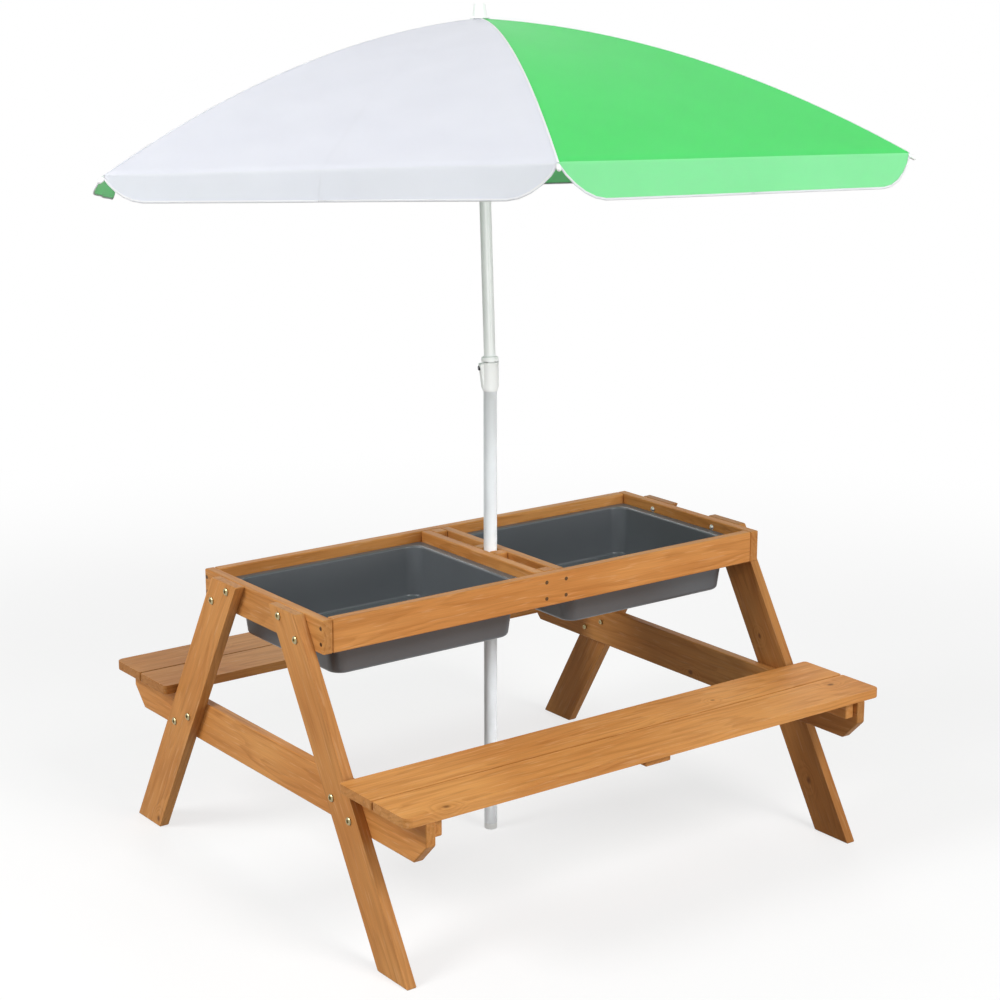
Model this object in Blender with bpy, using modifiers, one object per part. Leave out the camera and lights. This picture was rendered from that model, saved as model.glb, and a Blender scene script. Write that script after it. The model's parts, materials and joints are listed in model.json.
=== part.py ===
"""A children's picnic table with two lift-out play tubs, two benches and a folding umbrella.

Metres, +Z up. The origin is on the floor under the middle of the table, X runs along the
benches and the front is towards -Y. The umbrella stands in its own frames: one turns with the
lower pole about Z, and one leans with the upper pole about the tilt pin.
"""
from math import acos, cos, degrees, hypot, pi, radians, sin

import bmesh
import bpy
from mathutils import Euler, Matrix, Vector

MM = 0.001

# Fits that hold all over the part
TOUCH = 0.3 * MM  # between pieces that lie against each other
RUN = 0.3 * MM  # all round a piece that turns or slides in another
OVERRUN = 4 * MM  # how far a cutter passes the faces that it cuts

# Timber
TIMBER = 17 * MM  # thickness of the rails, legs and seat supports
EDGE_ROUND = 1.5 * MM
TABLE_H = 495 * MM
TABLE_L = 876 * MM  # over the end rails
TABLE_W = 357 * MM  # over the long rails
RAIL_H = 53 * MM
POLE_PLAY = 0.6 * MM  # between the pole and the timber round it
SPACER_L = 22 * MM

# Legs, as level distances from the middle plane
LEG_TOP_OUT = 126.5 * MM
LEG_FOOT_OUT = 416.5 * MM
LEG_ACROSS = 77.5 * MM

# Seats
SUPPORT_TOP = 262 * MM
SUPPORT_H = 69.5 * MM
SUPPORT_W = 886 * MM
CLIP_Y = 32.5 * MM
CLIP_Z = 33.5 * MM
BOARD_T = 15 * MM
BENCH_PAST_RAILS = 34 * MM  # from the end rails' outer face to the boards' ends
BENCH_IN = 267.5 * MM
BENCH_OUT = 443 * MM
BOARD_GAP = 3 * MM
OUTER_CORNER = 12 * MM
INNER_CORNER = 6 * MM
GAP_CORNER = 3 * MM
CLEAT_W = 17 * MM
CLEAT_H = 28 * MM
CLEAT_SET = 9 * MM  # from the bench's edges to the cleats' ends
MID_CLEAT_W = 50 * MM
MID_CLEAT_H = 12 * MM

# Tubs
TUB_WALL = 2.4 * MM
FLANGE_DROP = 17 * MM  # from the rails' top to the flange's top
FLANGE_PLAY = 1.8 * MM
FLANGE_X = 19 * MM  # width of the flange at the tub's ends
FLANGE_Y = 14 * MM  # width of the flange along the tub's sides
FLANGE_CORNER = 9 * MM
TUB_DEPTH = 88 * MM
TUB_DRAFT = 9 * MM  # how far the walls come in over the depth
TUB_CORNER = 30 * MM
TUB_FLOOR_ROUND = 13 * MM
TUB_LIP_ROUND = 3 * MM
LEDGER_W = 11.5 * MM
LEDGER_H = 16 * MM

# Lower pole and its foot
POLE_D = 22 * MM
POLE_WALL = 1.2 * MM
FOOT_H = 10 * MM  # of the plug's rim under the pole
PLUG_H = 32 * MM
FOOT_TAPER = 1 * MM

# Tilt joint between the two poles
TURN = -19.5  # degrees, the way that the pole stands turned in the table
TILT = 5.5  # degrees, the way that the upper pole leans
PIVOT_Z = 800.5 * MM
HOUSING_D = 28 * MM
HOUSING_LOW = 38 * MM  # from the pin down to the housing's lower end
HOUSING_TAPER = 1.6 * MM
TAPER_H = 8 * MM
WEB = 7 * MM  # solid between the pole's bore and the fork's slot
TONGUE_R = 9 * MM
TONGUE_T = 10 * MM
TONGUE_PLAY = 0.7 * MM  # from the tongue's round end to the slot's floor and to the collar
SHOULDER_DROP = 3 * MM  # from the pin down to the cut beside the cheeks
COLLAR_H = 8 * MM
COLLAR_ROUND = 3.6 * MM
COLLAR_FLOOR = 2.5 * MM
PIN_D = 5 * MM
PAD_W = 13 * MM
PAD_LOW = 33 * MM  # from the pin down to the thumb pad's lower end
PAD_KNEE = 10 * MM  # from the pin down to where the pad starts to taper
PAD_HIGH = 7 * MM
PAD_OUT = 5 * MM  # how far the thumb pad stands out of the housing
PAD_ROUND = 3 * MM
BUTTON_D = 8 * MM
BUTTON_L = 7 * MM
BUTTON_OUT = 1 * MM  # how far the button stands out of the pad
BUTTON_PRESS = 3 * MM

# Upper pole, crown, runner and finial
TUBE_D = 19 * MM
TUBE_WALL = 1.1 * MM
APEX = 554.5 * MM  # from the tilt pin to the top of the cloth
HUB_D = 38 * MM
PIVOT_R = 16 * MM  # radius of the rib and stretcher pivots round the pole
CROWN_DROP = 4 * MM  # from the apex to the crown's top
CROWN_H = 13 * MM
CROWN_PLATE = 3 * MM
RUNNER_RIM = 9 * MM
RUNNER_L = 36 * MM
RUNNER_WALL = 2 * MM
GRIP_D = 29 * MM
GRIP_H = 5 * MM
FINIAL_H = 24 * MM
FINIAL_D = 24 * MM
FINIAL_TOP_D = 19.5 * MM
FINIAL_FLANGE_D = 31 * MM
FINIAL_FLANGE_H = 1.6 * MM
FINIAL_ROUND = 4 * MM

# Ribs and stretchers
RIBS = 6
RIB_TURN = -8.5  # degrees from the lean's own direction to the front rib
REACH = 681 * MM  # from the axis to the cloth's corners
DOME = 229 * MM  # from the cloth's corners up to the apex
DOME_BEND_SHARE = 0.71  # part of the dome's fall that grows with the square of the radius
ROD_D = 3.8 * MM
RIB_UNDER = 5 * MM  # from the cloth's outer face down to the rib's centre line
RIB_BLEND = 45 * MM  # radius by which the rib has risen from its pivot to the cloth
RIB_END = 9 * MM  # how far the rib runs on past the cloth's corner
EYE_D = 6.2 * MM
EYE_T = 4.4 * MM
LUG_T = 1.8 * MM
LUG_DROP = 6.2 * MM  # from the rib's centre line to the stretcher's pivot
LUG_D = 6.4 * MM
LUG_NECK = 5 * MM
FORK_D = 6.8 * MM
FORK_CHEEK = 1.1 * MM
FORK_SLOT = 4.8 * MM  # from the pivot to the slot's floor
FORK_L = 9 * MM
STRETCHER_AT = 245 * MM  # radius at which the stretchers meet the ribs
CLOSED_R = 85 * MM  # radius of the rib tips in the folded umbrella

# Cloth
CLOTH_T = 1.2 * MM
CLOTH_HOLE_D = 27 * MM
SEAM_GAP = 1.8 * MM
VALANCE_H = 46 * MM
VALANCE_FLARE = 12 * MM
VALANCE_NOTCH = 72 * MM  # length of the rounded notch at each rib
TIP_DROP = 1.5 * MM  # the valance's height right at a rib
CLOTH_SAG = 5 * MM  # how far the middle of a panel hangs below straight lines between its ribs

# Facets
ROUND_STEPS = 24
SMALL_STEPS = 12
CORNER_STEPS = 4
CLOTH_ROWS = 8
CLOTH_COLUMN_SHARES = (0, 0.025, 0.06, 0.11, 0.2, 0.34)  # from each rib to the panel's middle
VALANCE_ROWS = 3

# Places worked out from the sizes above
RAIL_OUT_X = TABLE_L / 2
RAIL_OUT_Y = TABLE_W / 2
RAIL_IN_X = RAIL_OUT_X - TIMBER
RAIL_IN_Y = RAIL_OUT_Y - TIMBER
BAR_IN = POLE_D / 2 + POLE_PLAY
BAR_OUT = BAR_IN + TIMBER
BENCH_TOP = SUPPORT_TOP + TOUCH + BOARD_T
BENCH_L = TABLE_L + 2 * BENCH_PAST_RAILS
FLANGE_TOP = TABLE_H - FLANGE_DROP
FLANGE_LOW = FLANGE_TOP - TUB_WALL
HUB_R = HUB_D / 2
TUBE_R = TUBE_D / 2
POLE_R = POLE_D / 2
SLOT_W = EYE_T + 2 * RUN
SLOT_IN = PIVOT_R - EYE_D / 2 - RUN
RIB_STEP = 2 * pi / RIBS

UPRIGHT = (pi / 2, 0, pi / 2)  # turns a plank's outline into the YZ plane

WOOD = ("stained_fir", (0.50, 0.23, 0.06), 0.55, 0.0)
GREY_PLASTIC = ("grey_plastic", (0.11, 0.11, 0.115), 0.45, 0.0)
WHITE_METAL = ("white_coated_steel", (0.72, 0.75, 0.75), 0.35, 0.0)
WHITE_PLASTIC = ("white_plastic", (0.75, 0.77, 0.77), 0.45, 0.0)
DARK_METAL = ("dark_steel", (0.05, 0.05, 0.055), 0.4, 1.0)
WHITE_CLOTH = ("white_cloth", (0.77, 0.80, 0.89), 0.85, 0.0)
GREEN_CLOTH = ("green_cloth", (0.13, 0.70, 0.19), 0.85, 0.0)


def clear_scene():
    for obj in list(bpy.data.objects):
        bpy.data.objects.remove(obj, do_unlink=True)


def collection(name):
    made = bpy.data.collections.new(name)
    bpy.context.scene.collection.children.link(made)
    return made


def material(name, colour, roughness, metallic):
    found = bpy.data.materials.get(name)
    if found:
        return found
    made = bpy.data.materials.new(name)
    made.use_nodes = True
    shader = made.node_tree.nodes["Principled BSDF"]
    shader.inputs["Base Color"].default_value = (*colour, 1)
    shader.inputs["Roughness"].default_value = roughness
    shader.inputs["Metallic"].default_value = metallic
    return made


def empty(name, location, rotation=(0, 0, 0), parent=None):
    made = bpy.data.objects.new(name, None)
    made.location = location
    made.rotation_euler = rotation
    made.parent = parent
    PARTS.objects.link(made)
    return made


def piece(name, data, look, location=(0, 0, 0), rotation=(0, 0, 0), parent=None):
    """One named sub-part with its own material, placed by its location, rotation and parent."""
    made = bpy.data.objects.new(name, data)
    made.location = location
    made.rotation_euler = rotation
    made.parent = parent
    if not data.materials:
        data.materials.append(material(*look))
    PARTS.objects.link(made)
    return made


def cutter(name, data, location=(0, 0, 0), rotation=(0, 0, 0), parent=None):
    made = bpy.data.objects.new(name, data)
    made.location = location
    made.rotation_euler = rotation
    made.parent = parent
    made.hide_render = True
    made.display_type = "WIRE"
    CUTTERS.objects.link(made)
    return made


def boolean(obj, other, operation):
    made = obj.modifiers.new(f"{operation.lower()}_{other.name}", "BOOLEAN")
    made.operation = operation
    made.solver = "EXACT"
    made.object = other
    return made


def mesh_from(shape, name, smooth=False):
    mesh = bpy.data.meshes.new(name)
    bmesh.ops.recalc_face_normals(shape, faces=shape.faces)
    shape.to_mesh(mesh)
    shape.free()
    if smooth:
        mesh.shade_smooth()
        mesh.set_sharp_from_angle(angle=radians(35))
    return mesh


def add_box(shape, low, high):
    """A box from its two opposite corners, added to the bmesh."""
    low, high = Vector(low), Vector(high)
    place = Matrix.Translation((low + high) / 2) @ Matrix.Diagonal((*(high - low), 1))
    return bmesh.ops.create_cube(shape, size=1, matrix=place)["verts"]


def add_disc(shape, radius, width, steps, axis="X"):
    """A cylinder of the given width, centred on the origin, along X or Y."""
    turned = {"X": Euler((0, pi / 2, 0)), "Y": Euler((pi / 2, 0, 0))}[axis].to_matrix().to_4x4()
    bmesh.ops.create_cone(shape, cap_ends=True, segments=steps, radius1=radius, radius2=radius,
                          depth=width, matrix=turned)


def box_mesh(name, low, high):
    shape = bmesh.new()
    add_box(shape, low, high)
    return mesh_from(shape, name)


def ease_edges(obj, width=EDGE_ROUND, segments=1):
    made = obj.modifiers.new("eased_edges", "BEVEL")
    made.width = width
    made.segments = segments
    made.limit_method = "ANGLE"
    made.angle_limit = radians(40)
    return obj


def timber(name, size, centre):
    """A straight piece of timber, its origin at its middle."""
    half = Vector(size) / 2
    return ease_edges(piece(name, box_mesh(name, -half, half), WOOD, centre))


def plank(name, outline, thickness, centre, rotation=(0, 0, 0)):
    """Timber of one thickness, with its outline in its local XY plane."""
    curve = bpy.data.curves.new(name, "CURVE")
    curve.dimensions = "2D"
    curve.fill_mode = "BOTH"
    curve.extrude = thickness / 2
    line = curve.splines.new("POLY")
    line.points.add(len(outline) - 1)
    for point, (x, y) in zip(line.points, outline):
        point.co = (x, y, 0, 1)
    line.use_cyclic_u = True
    made = piece(name, curve, WOOD, centre, rotation)
    weld = made.modifiers.new("weld", "WELD")
    weld.merge_threshold = 0.00005
    return ease_edges(made)


def rounded_rectangle(half_x, half_y, corners):
    """Points round a rectangle, its four corner radii given from (+x, +y) on."""
    points = []
    for quarter, (corner, (sx, sy)) in enumerate(zip(corners, ((1, 1), (-1, 1), (-1, -1), (1, -1)))):
        for step in range(CORNER_STEPS + 1):
            turn = (quarter + step / CORNER_STEPS) * pi / 2
            points.append((sx * (half_x - corner) + corner * cos(turn), sy * (half_y - corner) + corner * sin(turn)))
    return points


def turned_mesh(name, profile, closed=False, steps=ROUND_STEPS):
    """A profile of (radius, z) points, run down its outer side, turned about Z."""
    mesh = bpy.data.meshes.new(name)
    count = len(profile)
    ends = [(i, i + 1) for i in range(count - 1)] + ([(count - 1, 0)] if closed else [])
    mesh.from_pydata([(r, 0, z) for r, z in profile], ends, [])
    helper = bpy.data.objects.new(f"{name}_profile", mesh)
    CUTTERS.objects.link(helper)
    screw = helper.modifiers.new("turn", "SCREW")
    screw.steps = steps
    screw.render_steps = steps
    screw.use_merge_vertices = True
    screw.merge_threshold = 0.00001
    bpy.context.view_layer.update()
    solid = bpy.data.meshes.new_from_object(helper.evaluated_get(bpy.context.evaluated_depsgraph_get()))
    bpy.data.objects.remove(helper)
    shape = bmesh.new()
    shape.from_mesh(solid)
    return mesh_from(shape, name, smooth=True)


def ring_profile(inner, outer, low, high):
    return [(outer, high), (outer, low), (inner, low), (inner, high)]


def rod_mesh(name, points, diameter):
    """A round rod along the points, as a closed mesh."""
    curve = bpy.data.curves.new(name, "CURVE")
    curve.dimensions = "3D"
    curve.bevel_depth = diameter / 2
    curve.bevel_resolution = 2
    curve.use_fill_caps = True
    line = curve.splines.new("POLY")
    line.points.add(len(points) - 1)
    for point, place in zip(line.points, points):
        point.co = (*place, 1)
    helper = bpy.data.objects.new(f"{name}_path", curve)
    CUTTERS.objects.link(helper)
    bpy.context.view_layer.update()
    solid = bpy.data.meshes.new_from_object(helper.evaluated_get(bpy.context.evaluated_depsgraph_get()))
    bpy.data.objects.remove(helper)
    shape = bmesh.new()
    shape.from_mesh(solid)
    bmesh.ops.remove_doubles(shape, verts=shape.verts, dist=0.00002)
    return mesh_from(shape, name, smooth=True)


def applied(name, base, steps):
    """The base mesh joined with, or cut by, each (mesh, operation) in turn, as one plain mesh."""
    helper = cutter(f"{name}_base", base)
    others = [cutter(f"{name}_{i}", mesh) for i, (mesh, _) in enumerate(steps)]
    for other, (_, operation) in zip(others, steps):
        boolean(helper, other, operation)
    bpy.context.view_layer.update()
    solid = bpy.data.meshes.new_from_object(helper.evaluated_get(bpy.context.evaluated_depsgraph_get()))
    for used in [helper, *others]:
        bpy.data.objects.remove(used)
    solid.name = name
    solid.materials.clear()
    solid.shade_smooth()
    solid.set_sharp_from_angle(angle=radians(35))
    return solid


def sides(*names):
    """Pairs of a name and the sign of its side."""
    return zip(names, (-1, 1))


# Table frame
def table_frame():
    rail_z = TABLE_H - RAIL_H / 2
    for name, side in sides("front_long_rail", "back_long_rail"):
        timber(name, (2 * (RAIL_IN_X - TOUCH), TIMBER, RAIL_H), (0, side * (RAIL_OUT_Y - TIMBER / 2), rail_z))
    for name, side in sides("left_end_rail", "right_end_rail"):
        timber(name, (TIMBER, TABLE_W, RAIL_H), (side * (RAIL_OUT_X - TIMBER / 2), 0, rail_z))
    for name, side in sides("left_crossbar", "right_crossbar"):
        timber(name, (TIMBER, 2 * (RAIL_IN_Y - TOUCH), RAIL_H), (side * (BAR_IN + TIMBER / 2), 0, rail_z))
    width = 2 * (BAR_IN - TOUCH)
    for name, side in sides("front_pole_spacer", "back_pole_spacer"):
        timber(name, (width, SPACER_L, RAIL_H), (0, side * (BAR_IN + SPACER_L / 2), rail_z))
    for name, side in sides("front_end_spacer", "back_end_spacer"):
        timber(name, (width, SPACER_L, RAIL_H), (0, side * (RAIL_IN_Y - TOUCH - SPACER_L / 2), rail_z))
    low = FLANGE_LOW - TOUCH - LEDGER_H / 2
    length = RAIL_IN_X - BAR_OUT - 2 * TOUCH
    for end, end_side in sides("left", "right"):
        for name, side in sides(f"{end}_front_ledger", f"{end}_back_ledger"):
            centre = (end_side * (RAIL_IN_X + BAR_OUT) / 2, side * (RAIL_IN_Y - TOUCH - LEDGER_W / 2), low)
            timber(name, (length, LEDGER_W, LEDGER_H), centre)


def legs():
    for end, end_side in sides("left", "right"):
        x_mid = end_side * (RAIL_OUT_X + TOUCH + TIMBER / 2)
        for name, side in sides(f"{end}_front_leg", f"{end}_back_leg"):
            outline = [(LEG_FOOT_OUT, 0), (LEG_TOP_OUT, TABLE_H), (LEG_TOP_OUT - LEG_ACROSS, TABLE_H),
                       (LEG_FOOT_OUT - LEG_ACROSS, 0)]
            plank(name, [(side * y, z) for y, z in outline], TIMBER, (x_mid, 0, 0), UPRIGHT)


# Seats
def seats():
    low = SUPPORT_TOP - SUPPORT_H
    half = SUPPORT_W / 2
    right_half = [(half - CLIP_Y, low), (half, low + CLIP_Z), (half, SUPPORT_TOP)]
    outline = right_half + [(-y, z) for y, z in reversed(right_half)]
    for name, side in sides("left_seat_support", "right_seat_support"):
        plank(name, outline, TIMBER, (side * (RAIL_OUT_X - TIMBER / 2), 0, 0), UPRIGHT)
    width = (BENCH_OUT - BENCH_IN - BOARD_GAP) / 2
    cleat_l = BENCH_OUT - BENCH_IN - 2 * CLEAT_SET
    cleat_y = (BENCH_OUT + BENCH_IN) / 2
    for bench, side in sides("front", "back"):
        for name, middle, out, inside in (("inner", BENCH_IN + width / 2, GAP_CORNER, INNER_CORNER),
                                          ("outer", BENCH_OUT - width / 2, OUTER_CORNER, GAP_CORNER)):
            corners = (out, out, inside, inside) if side > 0 else (inside, inside, out, out)
            plank(f"{bench}_bench_{name}_board", rounded_rectangle(BENCH_L / 2, width / 2, corners),
                  BOARD_T, (0, side * middle, BENCH_TOP - BOARD_T / 2))
        for end, end_side in sides("left", "right"):
            centre = (end_side * (RAIL_IN_X - TOUCH - CLEAT_W / 2), side * cleat_y, SUPPORT_TOP - CLEAT_H / 2)
            timber(f"{bench}_bench_{end}_cleat", (CLEAT_W, cleat_l, CLEAT_H), centre)
        centre = (0, side * cleat_y, SUPPORT_TOP - MID_CLEAT_H / 2)
        timber(f"{bench}_bench_middle_cleat", (MID_CLEAT_W, cleat_l, MID_CLEAT_H), centre)


# Tubs
def tub_ring(half_x, half_y, corner, z):
    return [(x, y, z) for x, y in rounded_rectangle(half_x, half_y, [corner] * 4)]


def tub_mesh():
    """The flange, walls and floor as one open skin, lofted through rounded rectangles."""
    out_x = (RAIL_IN_X - BAR_OUT) / 2 - FLANGE_PLAY
    out_y = RAIL_IN_Y - FLANGE_PLAY
    mouth_x = out_x - FLANGE_X
    mouth_y = out_y - FLANGE_Y
    rings = [tub_ring(out_x, out_y, FLANGE_CORNER, 0)]
    for step in range(CORNER_STEPS):
        turn = step / (CORNER_STEPS - 1) * pi / 2
        ease = TUB_LIP_ROUND * (1 - sin(turn))
        rings.append(tub_ring(mouth_x + ease, mouth_y + ease, TUB_CORNER + ease, -TUB_LIP_ROUND * (1 - cos(turn))))
    floor = -(TUB_DEPTH - TUB_WALL)
    knee = floor + TUB_FLOOR_ROUND
    draft = TUB_DRAFT * (1 - TUB_FLOOR_ROUND / TUB_DEPTH)
    for step in range(CORNER_STEPS + 1):
        turn = step / CORNER_STEPS * pi / 2
        inward = draft + TUB_FLOOR_ROUND * (1 - cos(turn))
        rings.append(tub_ring(mouth_x - inward, mouth_y - inward, TUB_CORNER - inward / 2,
                              knee - TUB_FLOOR_ROUND * sin(turn)))
    shape = bmesh.new()
    loops = []
    for ring in rings:
        points = [shape.verts.new(place) for place in ring]
        loops.append([shape.edges.new((a, b)) for a, b in zip(points, points[1:] + points[:1])])
    for upper, lower in zip(loops, loops[1:]):
        bmesh.ops.bridge_loops(shape, edges=upper + lower)
    shape.faces.new([v for v in points])
    mesh = mesh_from(shape, "tub", smooth=True)
    if mesh.polygons[-1].normal.z < 0:
        mesh.flip_normals()
    return mesh


def tubs():
    mesh = tub_mesh()
    for name, side in sides("left_tub", "right_tub"):
        made = piece(name, mesh, GREY_PLASTIC, (side * (RAIL_IN_X + BAR_OUT) / 2, 0, FLANGE_TOP))
        shell = made.modifiers.new("wall", "SOLIDIFY")
        shell.thickness = TUB_WALL
        shell.offset = -1
        shell.use_even_offset = True


# Lower pole
def lower_pole(turn):
    plug = POLE_R - POLE_WALL - TOUCH
    profile = [(0, PLUG_H), (plug, PLUG_H), (plug, FOOT_H), (POLE_R, FOOT_H), (POLE_R, FOOT_TAPER),
               (POLE_R - FOOT_TAPER, 0), (0, 0)]
    piece("pole_foot", turned_mesh("pole_foot", profile), WHITE_PLASTIC, parent=turn)
    low = FOOT_H + TOUCH
    high = PIVOT_Z - BORE_TOP - TOUCH
    profile = ring_profile(POLE_R - POLE_WALL, POLE_R, low, high)
    piece("lower_pole", turned_mesh("lower_pole", profile, closed=True), WHITE_METAL, parent=turn)


# Tilt joint, with its pin along X through the origin of the meshes
SLOT_FLOOR = TONGUE_R + TONGUE_PLAY
BORE_TOP = SLOT_FLOOR + WEB
CHEEK_R = TONGUE_R + TONGUE_PLAY
FRONT_TOP = CHEEK_R - TOUCH  # the front is closed up to the knuckle's collar, the back is open for the lean
COLLAR_LOW = CHEEK_R + TONGUE_PLAY
HOUSING_R = HOUSING_D / 2
PAD_X = HOUSING_R + PAD_OUT
BUTTON_FLOOR = PAD_X + BUTTON_OUT - BUTTON_L - BUTTON_PRESS - RUN


def housing_mesh():
    """A socket for the lower pole, with a slot for the tongue that is open at the back and closed in front."""
    bore = POLE_R + TOUCH
    taper = HOUSING_R - HOUSING_TAPER
    body = turned_mesh("body", [(0, FRONT_TOP), (HOUSING_R, FRONT_TOP),
                                (HOUSING_R, TAPER_H - HOUSING_LOW), (taper, -HOUSING_LOW),
                                (bore, -HOUSING_LOW), (bore, -BORE_TOP), (0, -BORE_TOP)])
    wide = HOUSING_D
    shape = bmesh.new()
    add_disc(shape, CHEEK_R, 2 * wide, ROUND_STEPS)
    cheeks = mesh_from(shape, "cheeks")
    above = box_mesh("above", (-wide, 0, -SHOULDER_DROP), (wide, wide, CHEEK_R + OVERRUN))
    round_off = applied("round_off", above, [(cheeks, "DIFFERENCE")])
    slot = box_mesh("slot", (-TONGUE_T / 2 - RUN, -CHEEK_R, -SLOT_FLOOR), (TONGUE_T / 2 + RUN, wide, wide))
    wall_mid = (bore + (HOUSING_R ** 2 - (PAD_W / 2) ** 2) ** 0.5) / 2
    pad = bmesh.new()
    add_box(pad, (-PAD_X, -PAD_W / 2, -PAD_LOW), (-wall_mid, PAD_W / 2, PAD_HIGH))
    bmesh.ops.bisect_plane(pad, geom=[*pad.verts, *pad.edges, *pad.faces], plane_co=(0, 0, -PAD_KNEE),
                           plane_no=(0, 0, 1))
    for vert in pad.verts:
        if vert.co.z < -PAD_KNEE - TOUCH and vert.co.x < -wall_mid - TOUCH:
            vert.co.x = -HOUSING_R
    outer = [e for e in pad.edges if max(v.co.x for v in e.verts) < -wall_mid - TOUCH]
    rims = [e for e in outer if min(v.co.z for v in e.verts) > PAD_HIGH - TOUCH
            or abs(e.verts[0].co.z - e.verts[1].co.z) > TOUCH]
    bmesh.ops.bevel(pad, geom=rims, offset=PAD_ROUND, segments=2, profile=0.5, affect="EDGES")
    shape = bmesh.new()
    add_disc(shape, PIN_D / 2 + TOUCH, 4 * wide, SMALL_STEPS)
    hole = mesh_from(shape, "hole")
    shape = bmesh.new()
    add_disc(shape, BUTTON_D / 2 + RUN, wide, ROUND_STEPS)
    bmesh.ops.translate(shape, verts=shape.verts, vec=(-BUTTON_FLOOR - wide / 2, 0, 0))
    well = mesh_from(shape, "well")
    return applied("tilt_housing", body, [(round_off, "DIFFERENCE"), (slot, "DIFFERENCE"),
                                          (mesh_from(pad, "pad"), "UNION"), (hole, "DIFFERENCE"),
                                          (well, "DIFFERENCE")])


def knuckle_mesh():
    bore = TUBE_R + TOUCH
    top = COLLAR_LOW + COLLAR_H
    shoulder = [(HOUSING_R - COLLAR_ROUND * (1 - sin(t)), top - COLLAR_ROUND * (1 - cos(t)))
                for t in (0, pi / 6, pi / 3, pi / 2)]
    collar = turned_mesh("collar", [(0, COLLAR_LOW + COLLAR_FLOOR), (bore, COLLAR_LOW + COLLAR_FLOOR),
                                    (bore, top), *shoulder, (HOUSING_R, COLLAR_LOW), (0, COLLAR_LOW)])
    shape = bmesh.new()
    add_disc(shape, TONGUE_R, TONGUE_T, ROUND_STEPS)
    disc = mesh_from(shape, "disc")
    neck = box_mesh("neck", (-TONGUE_T / 2, -TONGUE_R * NECK_SHARE, 0),
                    (TONGUE_T / 2, TONGUE_R * NECK_SHARE, COLLAR_LOW + COLLAR_FLOOR / 2))
    shape = bmesh.new()
    add_disc(shape, PIN_D / 2 + RUN, 2 * TONGUE_T, SMALL_STEPS)
    return applied("tilt_knuckle", collar, [(neck, "UNION"), (disc, "UNION"),
                                            (mesh_from(shape, "hole"), "DIFFERENCE")])


NECK_SHARE = 0.93  # the tongue's neck, as part of its round end's radius


def tilt_joint(turn, lean):
    piece("tilt_housing", housing_mesh(), WHITE_PLASTIC, (0, 0, PIVOT_Z), parent=turn)
    piece("tilt_knuckle", knuckle_mesh(), WHITE_PLASTIC, parent=lean)
    shape = bmesh.new()
    pin_in = -BUTTON_FLOOR + RUN
    pin_out = HOUSING_R - HOUSING_TAPER
    add_disc(shape, PIN_D / 2, pin_out - pin_in, SMALL_STEPS)
    bmesh.ops.translate(shape, verts=shape.verts, vec=((pin_in + pin_out) / 2, 0, 0))
    piece("tilt_pin", mesh_from(shape, "tilt_pin", smooth=True), DARK_METAL, (0, 0, PIVOT_Z), parent=turn)
    shape = bmesh.new()
    add_disc(shape, BUTTON_D / 2, BUTTON_L, ROUND_STEPS)
    centre = (-(PAD_X + BUTTON_OUT - BUTTON_L / 2), 0, PIVOT_Z)
    ease_edges(piece("tilt_button", mesh_from(shape, "tilt_button", smooth=True), DARK_METAL, centre, parent=turn),
               BUTTON_OUT / 2)


# Canopy frame, in a frame whose Z is the upper pole's axis and whose origin is the tilt pin
def cloth_z(radius):
    """Height of the cloth's outer face above a rib, measured from the apex."""
    share = radius / REACH
    return -DOME * ((1 - DOME_BEND_SHARE) * share + DOME_BEND_SHARE * share ** 2)


def cloth_slope(radius):
    return -DOME / REACH * ((1 - DOME_BEND_SHARE) + 2 * DOME_BEND_SHARE * radius / REACH)


def below_cloth(radius, depth):
    """A point straight in from the cloth, as (radius, z) from the apex."""
    slope = cloth_slope(radius)
    long = hypot(1, slope)
    return radius + depth * slope / long, cloth_z(radius) - depth / long


RIB_PIVOT = Vector((PIVOT_R, 0, -(CROWN_DROP + CROWN_H / 2 - RUN)))
_at = below_cloth(STRETCHER_AT, RIB_UNDER + LUG_DROP)
STRETCHER_PIVOT = Vector((_at[0], 0, _at[1]))
ARM = (STRETCHER_PIVOT - RIB_PIVOT).length  # rib pivot to stretcher pivot, and the stretcher's length
ARM_ANGLE = acos((RIB_PIVOT.z - STRETCHER_PIVOT.z) / ARM)  # from the pole's downward direction
RUNNER_DROP = 2 * ARM * cos(ARM_ANGLE)  # from the rib pivots down to the runner's pivots
_tip = below_cloth(REACH, RIB_UNDER)
TIP_ANGLE = acos((RIB_PIVOT.z - _tip[1]) / hypot(_tip[0] - RIB_PIVOT.x, RIB_PIVOT.z - _tip[1]))
TIP_ARM = hypot(_tip[0] - RIB_PIVOT.x, RIB_PIVOT.z - _tip[1])
FOLD = TIP_ANGLE - pi / 2 + acos((CLOSED_R - RIB_PIVOT.x) / TIP_ARM)  # how far a rib swings to close
RUNNER_TRAVEL = 2 * ARM * (cos(ARM_ANGLE - FOLD) - cos(ARM_ANGLE))


def hub_slots():
    """Six radial boxes that open the pivots' slots in the crown or the runner."""
    shape = bmesh.new()
    for index in range(RIBS):
        verts = add_box(shape, (SLOT_IN, -SLOT_W / 2, -HUB_D), (HUB_D, SLOT_W / 2, HUB_D))
        bmesh.ops.rotate(shape, verts=verts, cent=(0, 0, 0), matrix=Matrix.Rotation(rib_angle(index), 3, "Z"))
    return mesh_from(shape, "slots")


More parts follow.
